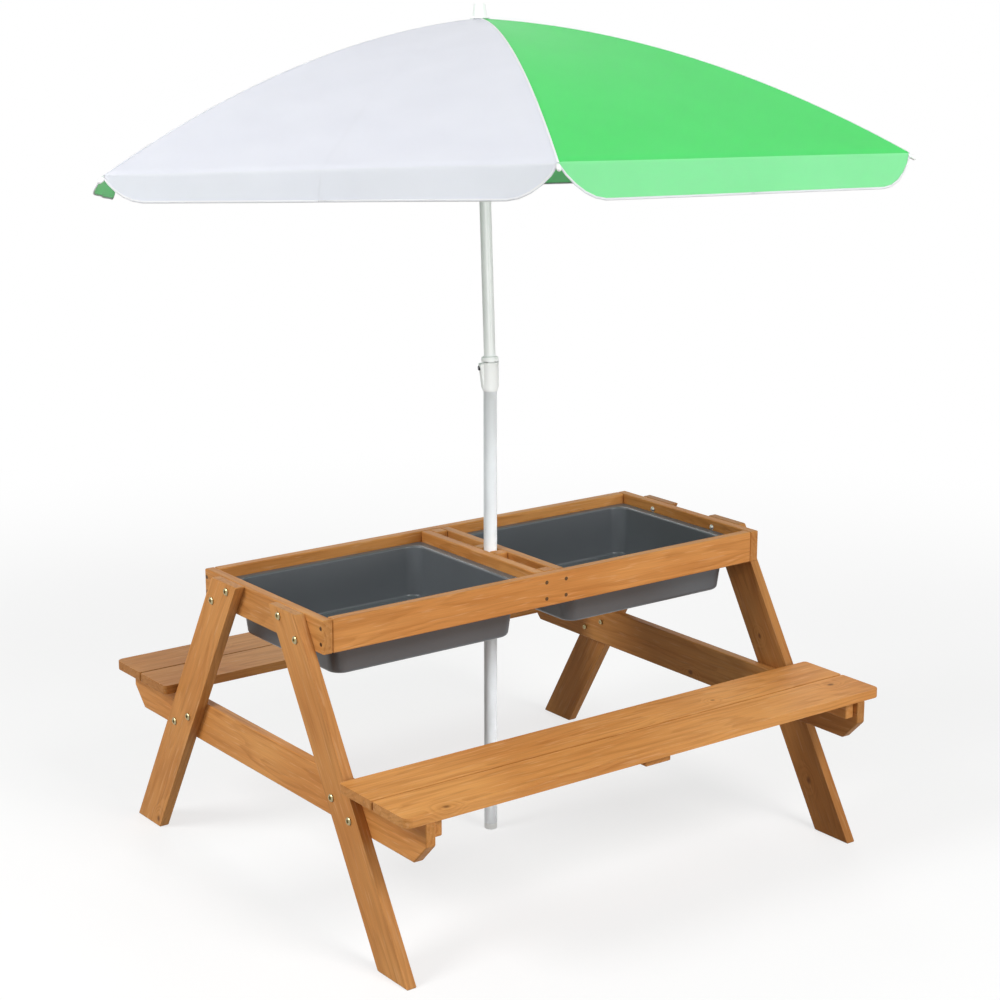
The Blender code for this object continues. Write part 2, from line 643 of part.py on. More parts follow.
def upper_pole(lean, hub):
    bore = TUBE_R + TOUCH
    crown_top = -CROWN_DROP
    crown_low = crown_top - CROWN_H
    bore_top = crown_top - CROWN_PLATE
    low = COLLAR_LOW + COLLAR_FLOOR + TOUCH
    high = APEX + bore_top - TOUCH
    profile = ring_profile(TUBE_R - TUBE_WALL, TUBE_R, low, high)
    piece("upper_pole", turned_mesh("upper_pole", profile, closed=True), WHITE_METAL, parent=lean)
    crown = turned_mesh("crown_body", [(0, crown_top), (HUB_R, crown_top), (HUB_R, crown_low), (bore, crown_low),
                                       (bore, bore_top), (0, bore_top)])
    piece("crown", applied("crown", crown, [(hub_slots(), "DIFFERENCE")]), WHITE_PLASTIC, parent=hub)
    half = RUNNER_RIM / 2
    wall = bore + RUNNER_WALL
    runner = turned_mesh("runner_body", [(HUB_R, half), (HUB_R, -half), (wall, -half), (wall, half + GRIP_H - RUNNER_L),
                                         (GRIP_D / 2, half + GRIP_H - RUNNER_L), (GRIP_D / 2, half - RUNNER_L),
                                         (bore, half - RUNNER_L), (bore, half)], closed=True)
    piece("runner", applied("runner", runner, [(hub_slots(), "DIFFERENCE")]), WHITE_PLASTIC,
          (0, 0, RIB_PIVOT.z - RUNNER_DROP), parent=hub)
    flange = cloth_z(CLOTH_HOLE_D / 2) + TOUCH
    stud = CLOTH_HOLE_D / 2 * cos(RIB_STEP / 2) - 2 * TOUCH
    top = FINIAL_H
    dome = [(FINIAL_TOP_D / 2 - FINIAL_ROUND * (1 - sin(t)), top - FINIAL_ROUND * (1 - cos(t)))
            for t in (0, pi / 6, pi / 3, pi / 2)]
    piece("finial", turned_mesh("finial", [(0, top), *dome, (FINIAL_D / 2, flange + 2 * FINIAL_FLANGE_H),
                                           (FINIAL_FLANGE_D / 2, flange + FINIAL_FLANGE_H),
                                           (FINIAL_FLANGE_D / 2, flange), (stud, flange),
                                           (stud, crown_top + TOUCH), (0, crown_top + TOUCH)]),
          WHITE_PLASTIC, parent=hub)


def eye_mesh(place):
    shape = bmesh.new()
    add_disc(shape, EYE_D / 2, EYE_T, SMALL_STEPS, "Y")
    bmesh.ops.translate(shape, verts=shape.verts, vec=place)
    return mesh_from(shape, "eye")


def rib_mesh():
    """A bent rod under the cloth, its pivot at the origin and its tip towards +X."""
    points = [Vector((0, 0, 0))]
    radii = [RIB_BLEND + (REACH + RIB_END - RIB_BLEND) * i / RIB_POINTS for i in range(RIB_POINTS + 1)]
    for radius in radii:
        r, z = below_cloth(radius, RIB_UNDER)
        points.append(Vector((r, 0, z)) - RIB_PIVOT)
    rod = rod_mesh("rib_rod", points, ROD_D)
    pivot = STRETCHER_PIVOT - RIB_PIVOT
    r, z = below_cloth(STRETCHER_AT, RIB_UNDER)
    root = Vector((r, 0, z)) - RIB_PIVOT
    shape = bmesh.new()
    add_disc(shape, LUG_D / 2, LUG_T, SMALL_STEPS, "Y")
    bmesh.ops.translate(shape, verts=shape.verts, vec=pivot)
    lug = mesh_from(shape, "lug")
    shape = bmesh.new()
    add_box(shape, (-LUG_NECK / 2, -LUG_T / 2, 0), (LUG_NECK / 2, LUG_T / 2, (root - pivot).length))
    lean = Vector((0, 0, 1)).rotation_difference((root - pivot).normalized()).to_matrix().to_4x4()
    bmesh.ops.transform(shape, verts=shape.verts, matrix=Matrix.Translation(pivot) @ lean)
    neck = mesh_from(shape, "neck")
    return applied("rib", rod, [(eye_mesh((0, 0, 0)), "UNION"), (neck, "UNION"), (lug, "UNION")])


RIB_POINTS = 14


def stretcher_mesh():
    """A straight rod from its fork at the origin to its eye on +X."""
    fork_w = LUG_T + 2 * RUN + 2 * FORK_CHEEK
    rod = rod_mesh("stretcher_rod", [Vector((FORK_L - FORK_CHEEK, 0, 0)), Vector((ARM, 0, 0))], ROD_D)
    shape = bmesh.new()
    add_disc(shape, FORK_D / 2, fork_w, SMALL_STEPS, "Y")
    knob = mesh_from(shape, "knob")
    block = box_mesh("block", (0, -fork_w / 2, -FORK_D * FORK_BLOCK_SHARE), (FORK_L, fork_w / 2, FORK_D * FORK_BLOCK_SHARE))
    slot = box_mesh("slot", (-FORK_D, -LUG_T / 2 - RUN, -FORK_D), (FORK_SLOT, LUG_T / 2 + RUN, FORK_D))
    return applied("stretcher", block, [(knob, "UNION"), (slot, "DIFFERENCE"), (rod, "UNION"),
                                        (eye_mesh((ARM, 0, 0)), "UNION")])


FORK_BLOCK_SHARE = 0.4  # half height of the fork's block, as part of the knob's diameter


def rib_angle(index):
    """Turn of one rib about the upper pole, in radians from +X."""
    return radians(RIB_TURN - 90) + index * RIB_STEP


def canopy_frame(hub):
    rib = rib_mesh()
    stretcher = stretcher_mesh()
    for index in range(RIBS):
        turn = rib_angle(index)
        round_pole = Matrix.Rotation(turn, 3, "Z")
        piece(f"rib_{index + 1}", rib, WHITE_METAL, round_pole @ RIB_PIVOT, (0, 0, turn), parent=hub)
        piece(f"stretcher_{index + 1}", stretcher, WHITE_METAL, round_pole @ STRETCHER_PIVOT,
              (0, pi / 2 + ARM_ANGLE, turn), parent=hub)


# Cloth
def cloth_point(along, across, index):
    """A point on the outer face of one panel.

    along runs from the finial (0) to the rib tips (1) and on to the valance's hem (2), across
    runs from one rib (0) to the next (1).
    """
    share = min(along, 1)
    radius = CLOTH_HOLE_D / 2 + (REACH - CLOTH_HOLE_D / 2) * share
    width = 2 * radius * sin(RIB_STEP / 2)
    inset = SEAM_GAP / 2 / width
    across = inset + (1 - 2 * inset) * across
    low = Vector((radius * cos(rib_angle(index)), radius * sin(rib_angle(index)), 0))
    high = Vector((radius * cos(rib_angle(index + 1)), radius * sin(rib_angle(index + 1)), 0))
    point = low.lerp(high, across)
    point.z = cloth_z(radius) - CLOTH_SAG * sin(pi * share) * sin(pi * across)
    fall = max(along - 1, 0)
    if fall:
        run = min(across, 1 - across) * width
        depth = TIP_DROP + (VALANCE_H - TIP_DROP) * sin(pi / 2 * min(run / VALANCE_NOTCH, 1))
        outward = rib_angle(index) + RIB_STEP / 2
        flare = VALANCE_FLARE * depth / VALANCE_H * fall
        point += Vector((flare * cos(outward), flare * sin(outward), -depth * fall))
    return point


def cloth_panel(name, index, look, hub):
    rows = CLOTH_ROWS + VALANCE_ROWS
    shape = bmesh.new()
    shares = [*CLOTH_COLUMN_SHARES, 1 / 2, *(1 - share for share in reversed(CLOTH_COLUMN_SHARES))]
    columns = len(shares) - 1
    grid = bmesh.ops.create_grid(shape, x_segments=columns, y_segments=rows, size=1 / 2)["verts"]
    for vert in grid:
        column = round((vert.co.x + 1 / 2) * columns)
        row = round((vert.co.y + 1 / 2) * rows)
        along = row / CLOTH_ROWS if row <= CLOTH_ROWS else 1 + (row - CLOTH_ROWS) / VALANCE_ROWS
        vert.co = cloth_point(along, shares[column], index)
    mesh = mesh_from(shape, name, smooth=True)
    if mesh.polygons[0].normal.z < 0:
        mesh.flip_normals()
    made = piece(name, mesh, look, parent=hub)
    shell = made.modifiers.new("cloth", "SOLIDIFY")
    shell.thickness = CLOTH_T
    shell.offset = -1
    shell.use_even_offset = True


def canopy(hub):
    for index in range(RIBS):
        look = GREEN_CLOTH if index % 2 == 0 else WHITE_CLOTH
        cloth_panel(f"canopy_panel_{index + 1}", index, look, hub)


def umbrella():
    turn = empty("umbrella_turn", (0, 0, 0), (0, 0, radians(TURN)))
    lean = empty("umbrella_lean", (0, 0, PIVOT_Z), (-radians(TILT), 0, 0), parent=turn)
    hub = empty("umbrella_hub", (0, 0, APEX), parent=lean)
    lower_pole(turn)
    tilt_joint(turn, lean)
    upper_pole(lean, hub)
    canopy_frame(hub)
    canopy(hub)


def main():
    table_frame()
    legs()
    seats()
    tubs()
    umbrella()
    bpy.context.view_layer.update()
    print(f"runner travel {RUNNER_TRAVEL / MM:.1f} mm, ribs fold {degrees(FOLD):.1f} degrees,"
          f" stretchers {ARM / MM:.1f} mm long")


clear_scene()
PARTS = collection("kids_picnic_table")
CUTTERS = collection("cutters")
main()
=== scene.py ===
# %% [markdown]
# # A children's picnic table with two play tubs and an umbrella
#
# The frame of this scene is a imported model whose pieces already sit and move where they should.
# This script dresses it: it loads that frame, swaps the pieces whose surface deserves more than a
# CAD mesh, and gives every surface a finish made from nodes. All sizes are metres, Z is up, and
# the front of the table looks towards -Y.

import json
from math import atan2, cos, hypot, pi, radians, sin

import bmesh
import bpy
from mathutils import Matrix, Vector

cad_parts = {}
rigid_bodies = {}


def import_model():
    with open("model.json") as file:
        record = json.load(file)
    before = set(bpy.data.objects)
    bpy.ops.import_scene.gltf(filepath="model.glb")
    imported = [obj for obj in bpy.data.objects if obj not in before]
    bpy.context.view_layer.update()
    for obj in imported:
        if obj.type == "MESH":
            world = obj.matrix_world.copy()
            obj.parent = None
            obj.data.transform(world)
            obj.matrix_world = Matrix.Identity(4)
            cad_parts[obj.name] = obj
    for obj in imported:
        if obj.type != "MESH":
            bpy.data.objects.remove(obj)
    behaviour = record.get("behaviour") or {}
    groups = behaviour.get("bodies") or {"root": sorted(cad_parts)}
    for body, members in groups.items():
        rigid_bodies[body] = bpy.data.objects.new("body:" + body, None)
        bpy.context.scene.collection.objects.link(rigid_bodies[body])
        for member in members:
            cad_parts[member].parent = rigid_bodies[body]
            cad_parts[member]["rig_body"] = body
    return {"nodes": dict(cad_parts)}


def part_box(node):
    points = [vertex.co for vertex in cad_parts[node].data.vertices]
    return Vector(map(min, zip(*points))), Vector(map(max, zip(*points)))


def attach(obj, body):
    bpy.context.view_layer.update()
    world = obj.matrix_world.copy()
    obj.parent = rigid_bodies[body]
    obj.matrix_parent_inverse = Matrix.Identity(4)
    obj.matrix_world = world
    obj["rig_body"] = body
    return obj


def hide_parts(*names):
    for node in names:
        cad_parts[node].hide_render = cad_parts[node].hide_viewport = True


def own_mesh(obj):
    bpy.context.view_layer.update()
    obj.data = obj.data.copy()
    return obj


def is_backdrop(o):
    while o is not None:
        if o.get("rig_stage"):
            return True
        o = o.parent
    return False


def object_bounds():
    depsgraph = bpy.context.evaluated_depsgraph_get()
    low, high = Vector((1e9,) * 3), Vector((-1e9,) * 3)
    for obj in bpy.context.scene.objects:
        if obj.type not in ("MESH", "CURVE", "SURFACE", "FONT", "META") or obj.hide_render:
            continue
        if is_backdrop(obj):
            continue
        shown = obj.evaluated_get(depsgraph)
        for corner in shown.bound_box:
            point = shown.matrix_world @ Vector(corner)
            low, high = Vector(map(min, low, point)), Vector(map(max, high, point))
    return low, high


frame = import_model()
nodes = frame["nodes"]
cad_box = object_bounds()
MM = 0.001

# %% [markdown]
# ## Camera
#
# The photograph was taken from the front left, a little above the umbrella's top, with a lens of
# moderate length. The place and turn below were solved from the table's own corners, so that the
# dressed part falls on the photographed one. The lens is given for a square picture.

# %% Camera at the photograph's place
camera_data = bpy.data.cameras.new("photo_camera")
camera_data.lens = 77.66
camera_data.sensor_width = 36
camera_data.sensor_fit = "HORIZONTAL"
camera = bpy.data.objects.new("photo_camera", camera_data)
camera.location = (-2.0411, -2.7814, 1.4451)
camera.rotation_euler = (radians(75.8986), radians(0.0186), radians(-36.5431))
bpy.context.scene.collection.objects.link(camera)
bpy.context.scene.camera = camera
print("camera", round((camera.location - Vector((0, 0, 0.7))).length, 2), "m from the table")

# %% [markdown]
# ## Helpers for finishes
#
# A finish is a small tree of nodes that ends in one Principled shader. Colours are written as the
# hex values that a screen shows and turned to linear light by one function. One more function adds
# any node with its settings, its constants and its links. The nodes that come up again and again
# have short functions of their own, so a tree reads from top to bottom.

# %% Colours and nodes


def linear(code):
    """A hex colour as linear red, green, blue and alpha."""
    parts = [int(code[i:i + 2], 16) / 255 for i in (0, 2, 4)]
    return (*[c / 12.92 if c <= 0.04045 else ((c + 0.055) / 1.055) ** 2.4 for c in parts], 1)


def feed(tree, node, inputs):
    """Sets a node's inputs. A value is a constant, or the socket that is linked to the input."""
    for key, value in inputs.items():
        if isinstance(value, bpy.types.NodeSocket):
            tree.links.new(value, node.inputs[key])
        else:
            node.inputs[key].default_value = value
    return node


def add(tree, kind, inputs=None, **settings):
    """A new node with its settings and inputs."""
    node = tree.nodes.new(kind)
    for name, value in settings.items():
        setattr(node, name, value)
    return feed(tree, node, inputs or {})


def calc(tree, operation, *values):
    """The result of a Math node."""
    return add(tree, "ShaderNodeMath", dict(enumerate(values)), operation=operation).outputs[0]


def ramp(tree, value, low=0, high=1, start=0, end=1, curve="LINEAR"):
    """A value that runs from low to high, as one that runs from start to end."""
    return add(tree, "ShaderNodeMapRange", {"Value": value, 1: low, 2: high, 3: start, 4: end},
               interpolation_type=curve).outputs[0]


def mixed(tree, share, first, second):
    """Two colours, mixed by the second one's share."""
    return add(tree, "ShaderNodeMix", {0: share, 6: first, 7: second}, data_type="RGBA").outputs[2]


def scaled(tree, vector, factor):
    return add(tree, "ShaderNodeVectorMath", {0: vector, "Scale": factor}, operation="SCALE").outputs[0]


def stretched(tree, vector, factors):
    return add(tree, "ShaderNodeVectorMath", {0: vector, 1: factors}, operation="MULTIPLY").outputs[0]


def cloudy(tree, vector, scale, detail, **more):
    """Soft noise from 0 to 1."""
    return add(tree, "ShaderNodeTexNoise", {
        "Vector": vector, "Scale": scale, "Detail": detail, **more}).outputs["Fac"]


def finish_tree(name):
    """A new material's tree and its one shader."""
    made = bpy.data.materials.new(name)
    made.use_nodes = True
    return made, made.node_tree, made.node_tree.nodes["Principled BSDF"]


print("mid grey 808080 is", round(linear("808080")[0], 3), "in linear light")

# %% [markdown]
# ## Stained fir
#
# The table is planed fir with a thin honey-brown stain. To the eye it gives broad, quiet bands of
# early and late wood along each board, a few dark knots that the grain flows round, fine fibre
# streaks, and a soft satin gloss. Rings are cylinders round the tree's heart, so the finish works
# from a distance to that heart, in each board's own coordinates, and end grain comes out right by
# itself. Those coordinates are an attribute called grain: X along the board, Y across its face and
# Z through it, in metres, with an offset that makes no two boards alike.

# %% Fir finish
RING = 8 * MM  # a year's growth, 2 to 4 mm wide on the real board, drawn coarser so that it shows


def fir_finish():
    made, tree, shader = finish_tree("stained_fir_boards")
    grain = add(tree, "ShaderNodeAttribute", attribute_name="grain").outputs["Vector"]
    axes = add(tree, "ShaderNodeSeparateXYZ", {0: grain}).outputs
    slow = stretched(tree, grain, (2.6, 15, 15))
    wander = cloudy(tree, slow, 1, 2)
    across = add(tree, "ShaderNodeCombineXYZ", {"Y": axes["Y"], "Z": axes["Z"]}).outputs[0]
    radius = add(tree, "ShaderNodeVectorMath", {0: across}, operation="LENGTH").outputs["Value"]
    ripple = cloudy(tree, stretched(tree, grain, (7, 60, 60)), 1, 2)
    waved = calc(tree, "MULTIPLY_ADD", ripple, 7 * MM, radius)
    wandered = calc(tree, "MULTIPLY_ADD", wander, 62 * MM, waved)
    # Distance from the nearest knot, in that knot's own radii, less even than a circle
    away = [add(tree, "ShaderNodeAttribute", attribute_name=name).outputs["Vector"] for name in ("knot_a", "knot_b")]
    away = [add(tree, "ShaderNodeVectorMath", {0: knot}, operation="LENGTH").outputs["Value"] for knot in away]
    nearest = calc(tree, "MINIMUM", *away)
    part = calc(tree, "MULTIPLY_ADD", ripple, 1.2, nearest)
    swirl = ramp(tree, part, 1.2, 5.5, 2.2 * RING, 0, curve="SMOOTHERSTEP")
    pushed = calc(tree, "ADD", swirl, wandered)
    year = calc(tree, "DIVIDE", pushed, RING)
    within = calc(tree, "FRACT", year)
    rise = ramp(tree, within, 0.25, 0.86, curve="SMOOTHSTEP")
    fall = ramp(tree, within, 0.9, 1, 1, 0, curve="SMOOTHSTEP")
    late = calc(tree, "MULTIPLY", rise, fall)
    # Fibres are about 0.05 mm thick. Drawn as 1 mm streaks here, so that they show at all.
    fine = stretched(tree, grain, (14, 900, 900))
    fibre = cloudy(tree, fine, 1, 3, Roughness=0.6)
    streaked = stretched(tree, grain, (5, 90, 90))
    streak = cloudy(tree, streaked, 1, 2)
    blotch = cloudy(tree, grain, 4, 1)
    body = mixed(tree, ramp(tree, blotch, 0.35, 0.65), linear(FIR_LIGHT), linear(FIR_MID))
    bold = ramp(tree, streak, 0.3, 0.7, 0.05, 0.5)
    amount = calc(tree, "MULTIPLY", late, bold)
    ringed = mixed(tree, amount, body, linear(FIR_LATE))
    streak_part = ramp(tree, streak, 0.45, 0.75, end=0.4)
    streaky = mixed(tree, streak_part, ringed, linear(FIR_RED))
    fibre_part = ramp(tree, fibre, 0.3, 0.7, 0.88, 1.08)
    dashed = stretched(tree, grain, (22, 260, 260))
    dash = cloudy(tree, dashed, 1, 1)
    pale_part = ramp(tree, dash, 0.6, 0.72, end=0.26)
    flecked = mixed(tree, pale_part, streaky, linear(FIR_PALE))
    fibrous = scaled(tree, flecked, fibre_part)
    # The per-face factor carries the stain's tone and also painted light and shade.
    stain_and_shade = add(tree, "ShaderNodeAttribute", attribute_name="stain_and_shade").outputs["Fac"]
    fibrous = scaled(tree, fibrous, stain_and_shade)
    heart = ramp(tree, part, 0.9, 1.9, 0.85, 0, curve="SMOOTHSTEP")
    coloured = mixed(tree, heart, fibrous, linear(FIR_KNOT))
    gloss = ramp(tree, fibre, start=0.46, end=0.62)
    height = calc(tree, "MULTIPLY_ADD", late, 0.4, fibre)
    relief = add(tree, "ShaderNodeBump", {"Height": height, "Strength": 0.25, "Distance": 0.35 * MM}).outputs[0]
    feed(tree, shader, {"Base Color": coloured, "Roughness": gloss, "Normal": relief, "IOR": 1.45,
                        "Specular IOR Level": 0.22})
    return made


FIR_LIGHT = "DA9A57"
FIR_MID = "CA8746"
FIR_LATE = "A4662C"
FIR_RED = "B8702F"
FIR_PALE = "E9B886"
FIR_KNOT = "6E421A"
stained_fir = fir_finish()
print("fir finish:", len(stained_fir.node_tree.nodes), "nodes")

# %% [markdown]
# ## The boards
#
# Each CAD board is a sharp solid with a small flat chamfer. The real ones were run through a
# planer and sanded, which leaves a soft, rounded edge. A copy of each solid is merged, cleaned of
# the lines inside its flat faces, and its edges are rounded once more. Weighted normals then let
# the flat faces shade flat and the edges shade round. The copy stands for the CAD node and rides
# on its body, and carries the grain attribute that the finish reads.

# %% Copies of CAD pieces


def place(obj):
    bpy.context.scene.collection.objects.link(obj)
    return obj


def apply_modifiers(obj):
    """The object with its modifiers turned into plain mesh."""
    bpy.context.view_layer.update()
    mesh = bpy.data.meshes.new_from_object(obj.evaluated_get(bpy.context.evaluated_depsgraph_get()))
    obj.modifiers.clear()
    obj.data = mesh
    return obj


def merged_copy(node, name):
    """A copy of a CAD node's mesh with its triangles joined back to whole faces."""
    shape = bmesh.new()
    shape.from_mesh(nodes[node].data)
    bmesh.ops.remove_doubles(shape, verts=shape.verts, dist=0.01 * MM)
    bmesh.ops.dissolve_limit(shape, angle_limit=radians(1), verts=shape.verts, edges=shape.edges)
    mesh = bpy.data.meshes.new(name)
    shape.to_mesh(mesh)
    shape.free()
    return place(bpy.data.objects.new(name, mesh))


def soften(obj, width, segments=2, angle=30):
    """Rounded edges, shaded so that flat faces stay flat."""
    obj.data.shade_smooth()
    edge = obj.modifiers.new("rounded_edges", "BEVEL")
    edge.width = width
    edge.segments = segments
    edge.limit_method = "ANGLE"
    edge.angle_limit = radians(angle)
    edge.use_clamp_overlap = True
    shade = obj.modifiers.new("flat_faces", "WEIGHTED_NORMAL")
    shade.weight = 60
    return apply_modifiers(obj)


def dress(obj, node, look):
    """The piece takes a CAD node's place and body, and a finish in a material slot of its own."""
    obj.data.materials.clear()
    obj.data.materials.append(look)
    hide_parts(node)
    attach(obj, nodes[node]["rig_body"])
    return obj


print("most of the", len(nodes), "CAD nodes get a copy, with _wood, _shell, _tube, _rod or _moulded in its name")

# %% Boards with their grain
LEG_SPREAD, LEG_RISE = 290, 495  # millimetres, a leg's run to the side and its height


def board_axes(node):
    """A board's middle, and the directions along its grain, across its face and through it."""
    low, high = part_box(node)
    size = high - low
    if node.endswith("_leg"):
        side = -1 if "front" in node else 1
        along = Vector((0, -side * LEG_SPREAD, LEG_RISE)).normalized()
        return (low + high) / 2, (along, along.cross(Vector((1, 0, 0))), Vector((1, 0, 0)))
    order = sorted(range(3), key=lambda i: -size[i])
    return (low + high) / 2, [Vector([float(i == axis) for i in range(3)]) for axis in order]


def grain_attribute(obj, node, number):
    """Writes a board's grain, knots, and its stain tone with painted light and shade. Its number moves the tree's
    heart, so that no two look alike.
    """
    middle, axes = board_axes(node)
    heart = Vector((3.7 * number, (number * 37 % 50 - 25) * MM, (34 + number * 23 % 40) * MM))
    places = [Vector([(v.co - middle).dot(axis) for axis in axes]) for v in obj.data.vertices]
    grain = obj.data.attributes.new("grain", "FLOAT_VECTOR", "POINT")
    grain.data.foreach_set("vector", [c for place in places for c in place + heart])
    length = max(place.x for place in places) / MM
    usual = [((number * 0.37 % 1.4 - 0.7) * length, number * 7 % 19 - 9, 3 + number % 3)] if number % 3 else []
    spots = [*KNOTS.get(node, usual), FAR_OFF, FAR_OFF][:2]
    for name, (along, across, radius) in zip(("knot_a", "knot_b"), spots):
        near = obj.data.attributes.new(name, "FLOAT_VECTOR", "POINT")
        near.data.foreach_set("vector", [c for place in places for c in (
            (place.x / MM - along) / (1.5 * radius), (place.y / MM - across) / radius, 0)])
    # Each face's factor holds the stain's tone and painted light and shade: darker right-hand boards, a lighter front
    # bench, darker narrow faces.
    tone = next((value for start, value in BOARD_TONE_AND_SHADE.items() if node.startswith(start)), 1.0)
    # Narrow faces darken partly from stain and partly as painted shade.
    edge = LEG_EDGE_STAIN_AND_SHADE if node.endswith("_leg") else BOARD_EDGE_STAIN_AND_SHADE
    tones_and_shade = []
    for face in obj.data.polygons:
        end_part, edge_part = (abs(face.normal.dot(axis)) for axis in axes[:2])
        tones_and_shade.append(tone * (1 - (1 - BOARD_END) * end_part) * (1 - (1 - edge) * edge_part))
    stain_and_shade = obj.data.attributes.new("stain_and_shade", "FLOAT", "FACE")
    stain_and_shade.data.foreach_set("value", tones_and_shade)


# Knots that the photograph shows, by board: millimetres along and across from its middle, and radius
KNOTS = {
    "front_bench_outer_board": ((-398, -36, 6), (419, 18, 5)),
    "right_front_leg": ((75, 7, 4), (-185, 8, 6)),
    "left_back_leg": ((-256, -23, 5),),
    "right_seat_support": ((-32, -24, 4),),
    "front_bench_inner_board": ((210, -12, 4),),
    "left_front_leg": (), "left_seat_support": (), "front_long_rail": (), "left_end_rail": (),
    "back_long_rail": ((310, 4, 4),),
}
FAR_OFF = (9000, 0, 5)  # stands for no knot
# Boards are made lighter or darker: the right end's legs and support darker, as painted shade under the table, the
# front bench lighter, as painted light, and the rest partly by the stain's own unevenness and partly as painted light
# and shade. The first name that a board's own name starts with counts.
BOARD_TONE_AND_SHADE = {"front_bench": 1.08, "back_bench": 0.9, "left_end_rail": 0.93, "left_seat": 1.07,
              "left_back_leg": 1.02, "left": 0.97, "right_end_rail": 0.95, "right": 0.83, "front_long_rail": 0.97}
# Sawn ends drink more stain than a board's face. Narrow edge faces are darker, partly from stain and partly as
# painted shade, most of all on the legs.
BOARD_END = 0.8
BOARD_EDGE_STAIN_AND_SHADE = 0.9
LEG_EDGE_STAIN_AND_SHADE = 0.8
boards = [n for n in nodes if nodes[n]["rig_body"] == "table"]
for number, node in enumerate(sorted(boards)):
    board = soften(merged_copy(node, f"{node}_wood"), 0.5 * MM)
    grain_attribute(board, node, number + 1)
    dress(board, node, stained_fir)
print(len(boards), "boards, the last with", len(board.data.polygons), "faces")

# %% [markdown]
# ## Bolts, nuts and screws
#
# Bright zinc connector bolts hold the legs: a flat round head with a hex socket outside, and
# inside a hex nut, or a round cap where children's hands reach it. Small dark screws hold the
# corners of the top. All of these repeat, so Geometry Nodes make them: a point for each one, a head
# built from sizes that are the tree's named inputs, and instances that turn to the way each point
# aims. The tree ends in Realize Instances, and its result becomes a plain mesh that rides on the
# table.

# %% Metal finishes


def metal_finish(name, colour, rough, metallic=1.0, scratch=0.12):
    """Plated or coated metal. Plating gives the eye a bright edge and a slightly cloudy flat."""
    made, tree, shader = finish_tree(name)
    at = add(tree, "ShaderNodeTexCoord").outputs["Object"]
    cloud = cloudy(tree, at, 260, 2)
    shade = ramp(tree, cloud, 0.3, 0.7, 1 - scratch, 1)
    tone = scaled(tree, linear(colour)[:3], shade)
    gloss = ramp(tree, cloud, start=rough * 0.75, end=rough * 1.25)
    feed(tree, shader, {"Base Color": tone, "Roughness": gloss, "Metallic": metallic})
    return made


zinc = metal_finish("yellow_zinc_plated_steel", "AFA27C", 0.3)
pale_zinc = metal_finish("clear_zinc_plated_steel", "E6E3DC", 0.32)
dark_zinc = metal_finish("blackened_screw_steel", "6A5038", 0.4)
print("metal finishes:", zinc.name, pale_zinc.name, dark_zinc.name)

# %% Geometry Nodes tree for fasteners


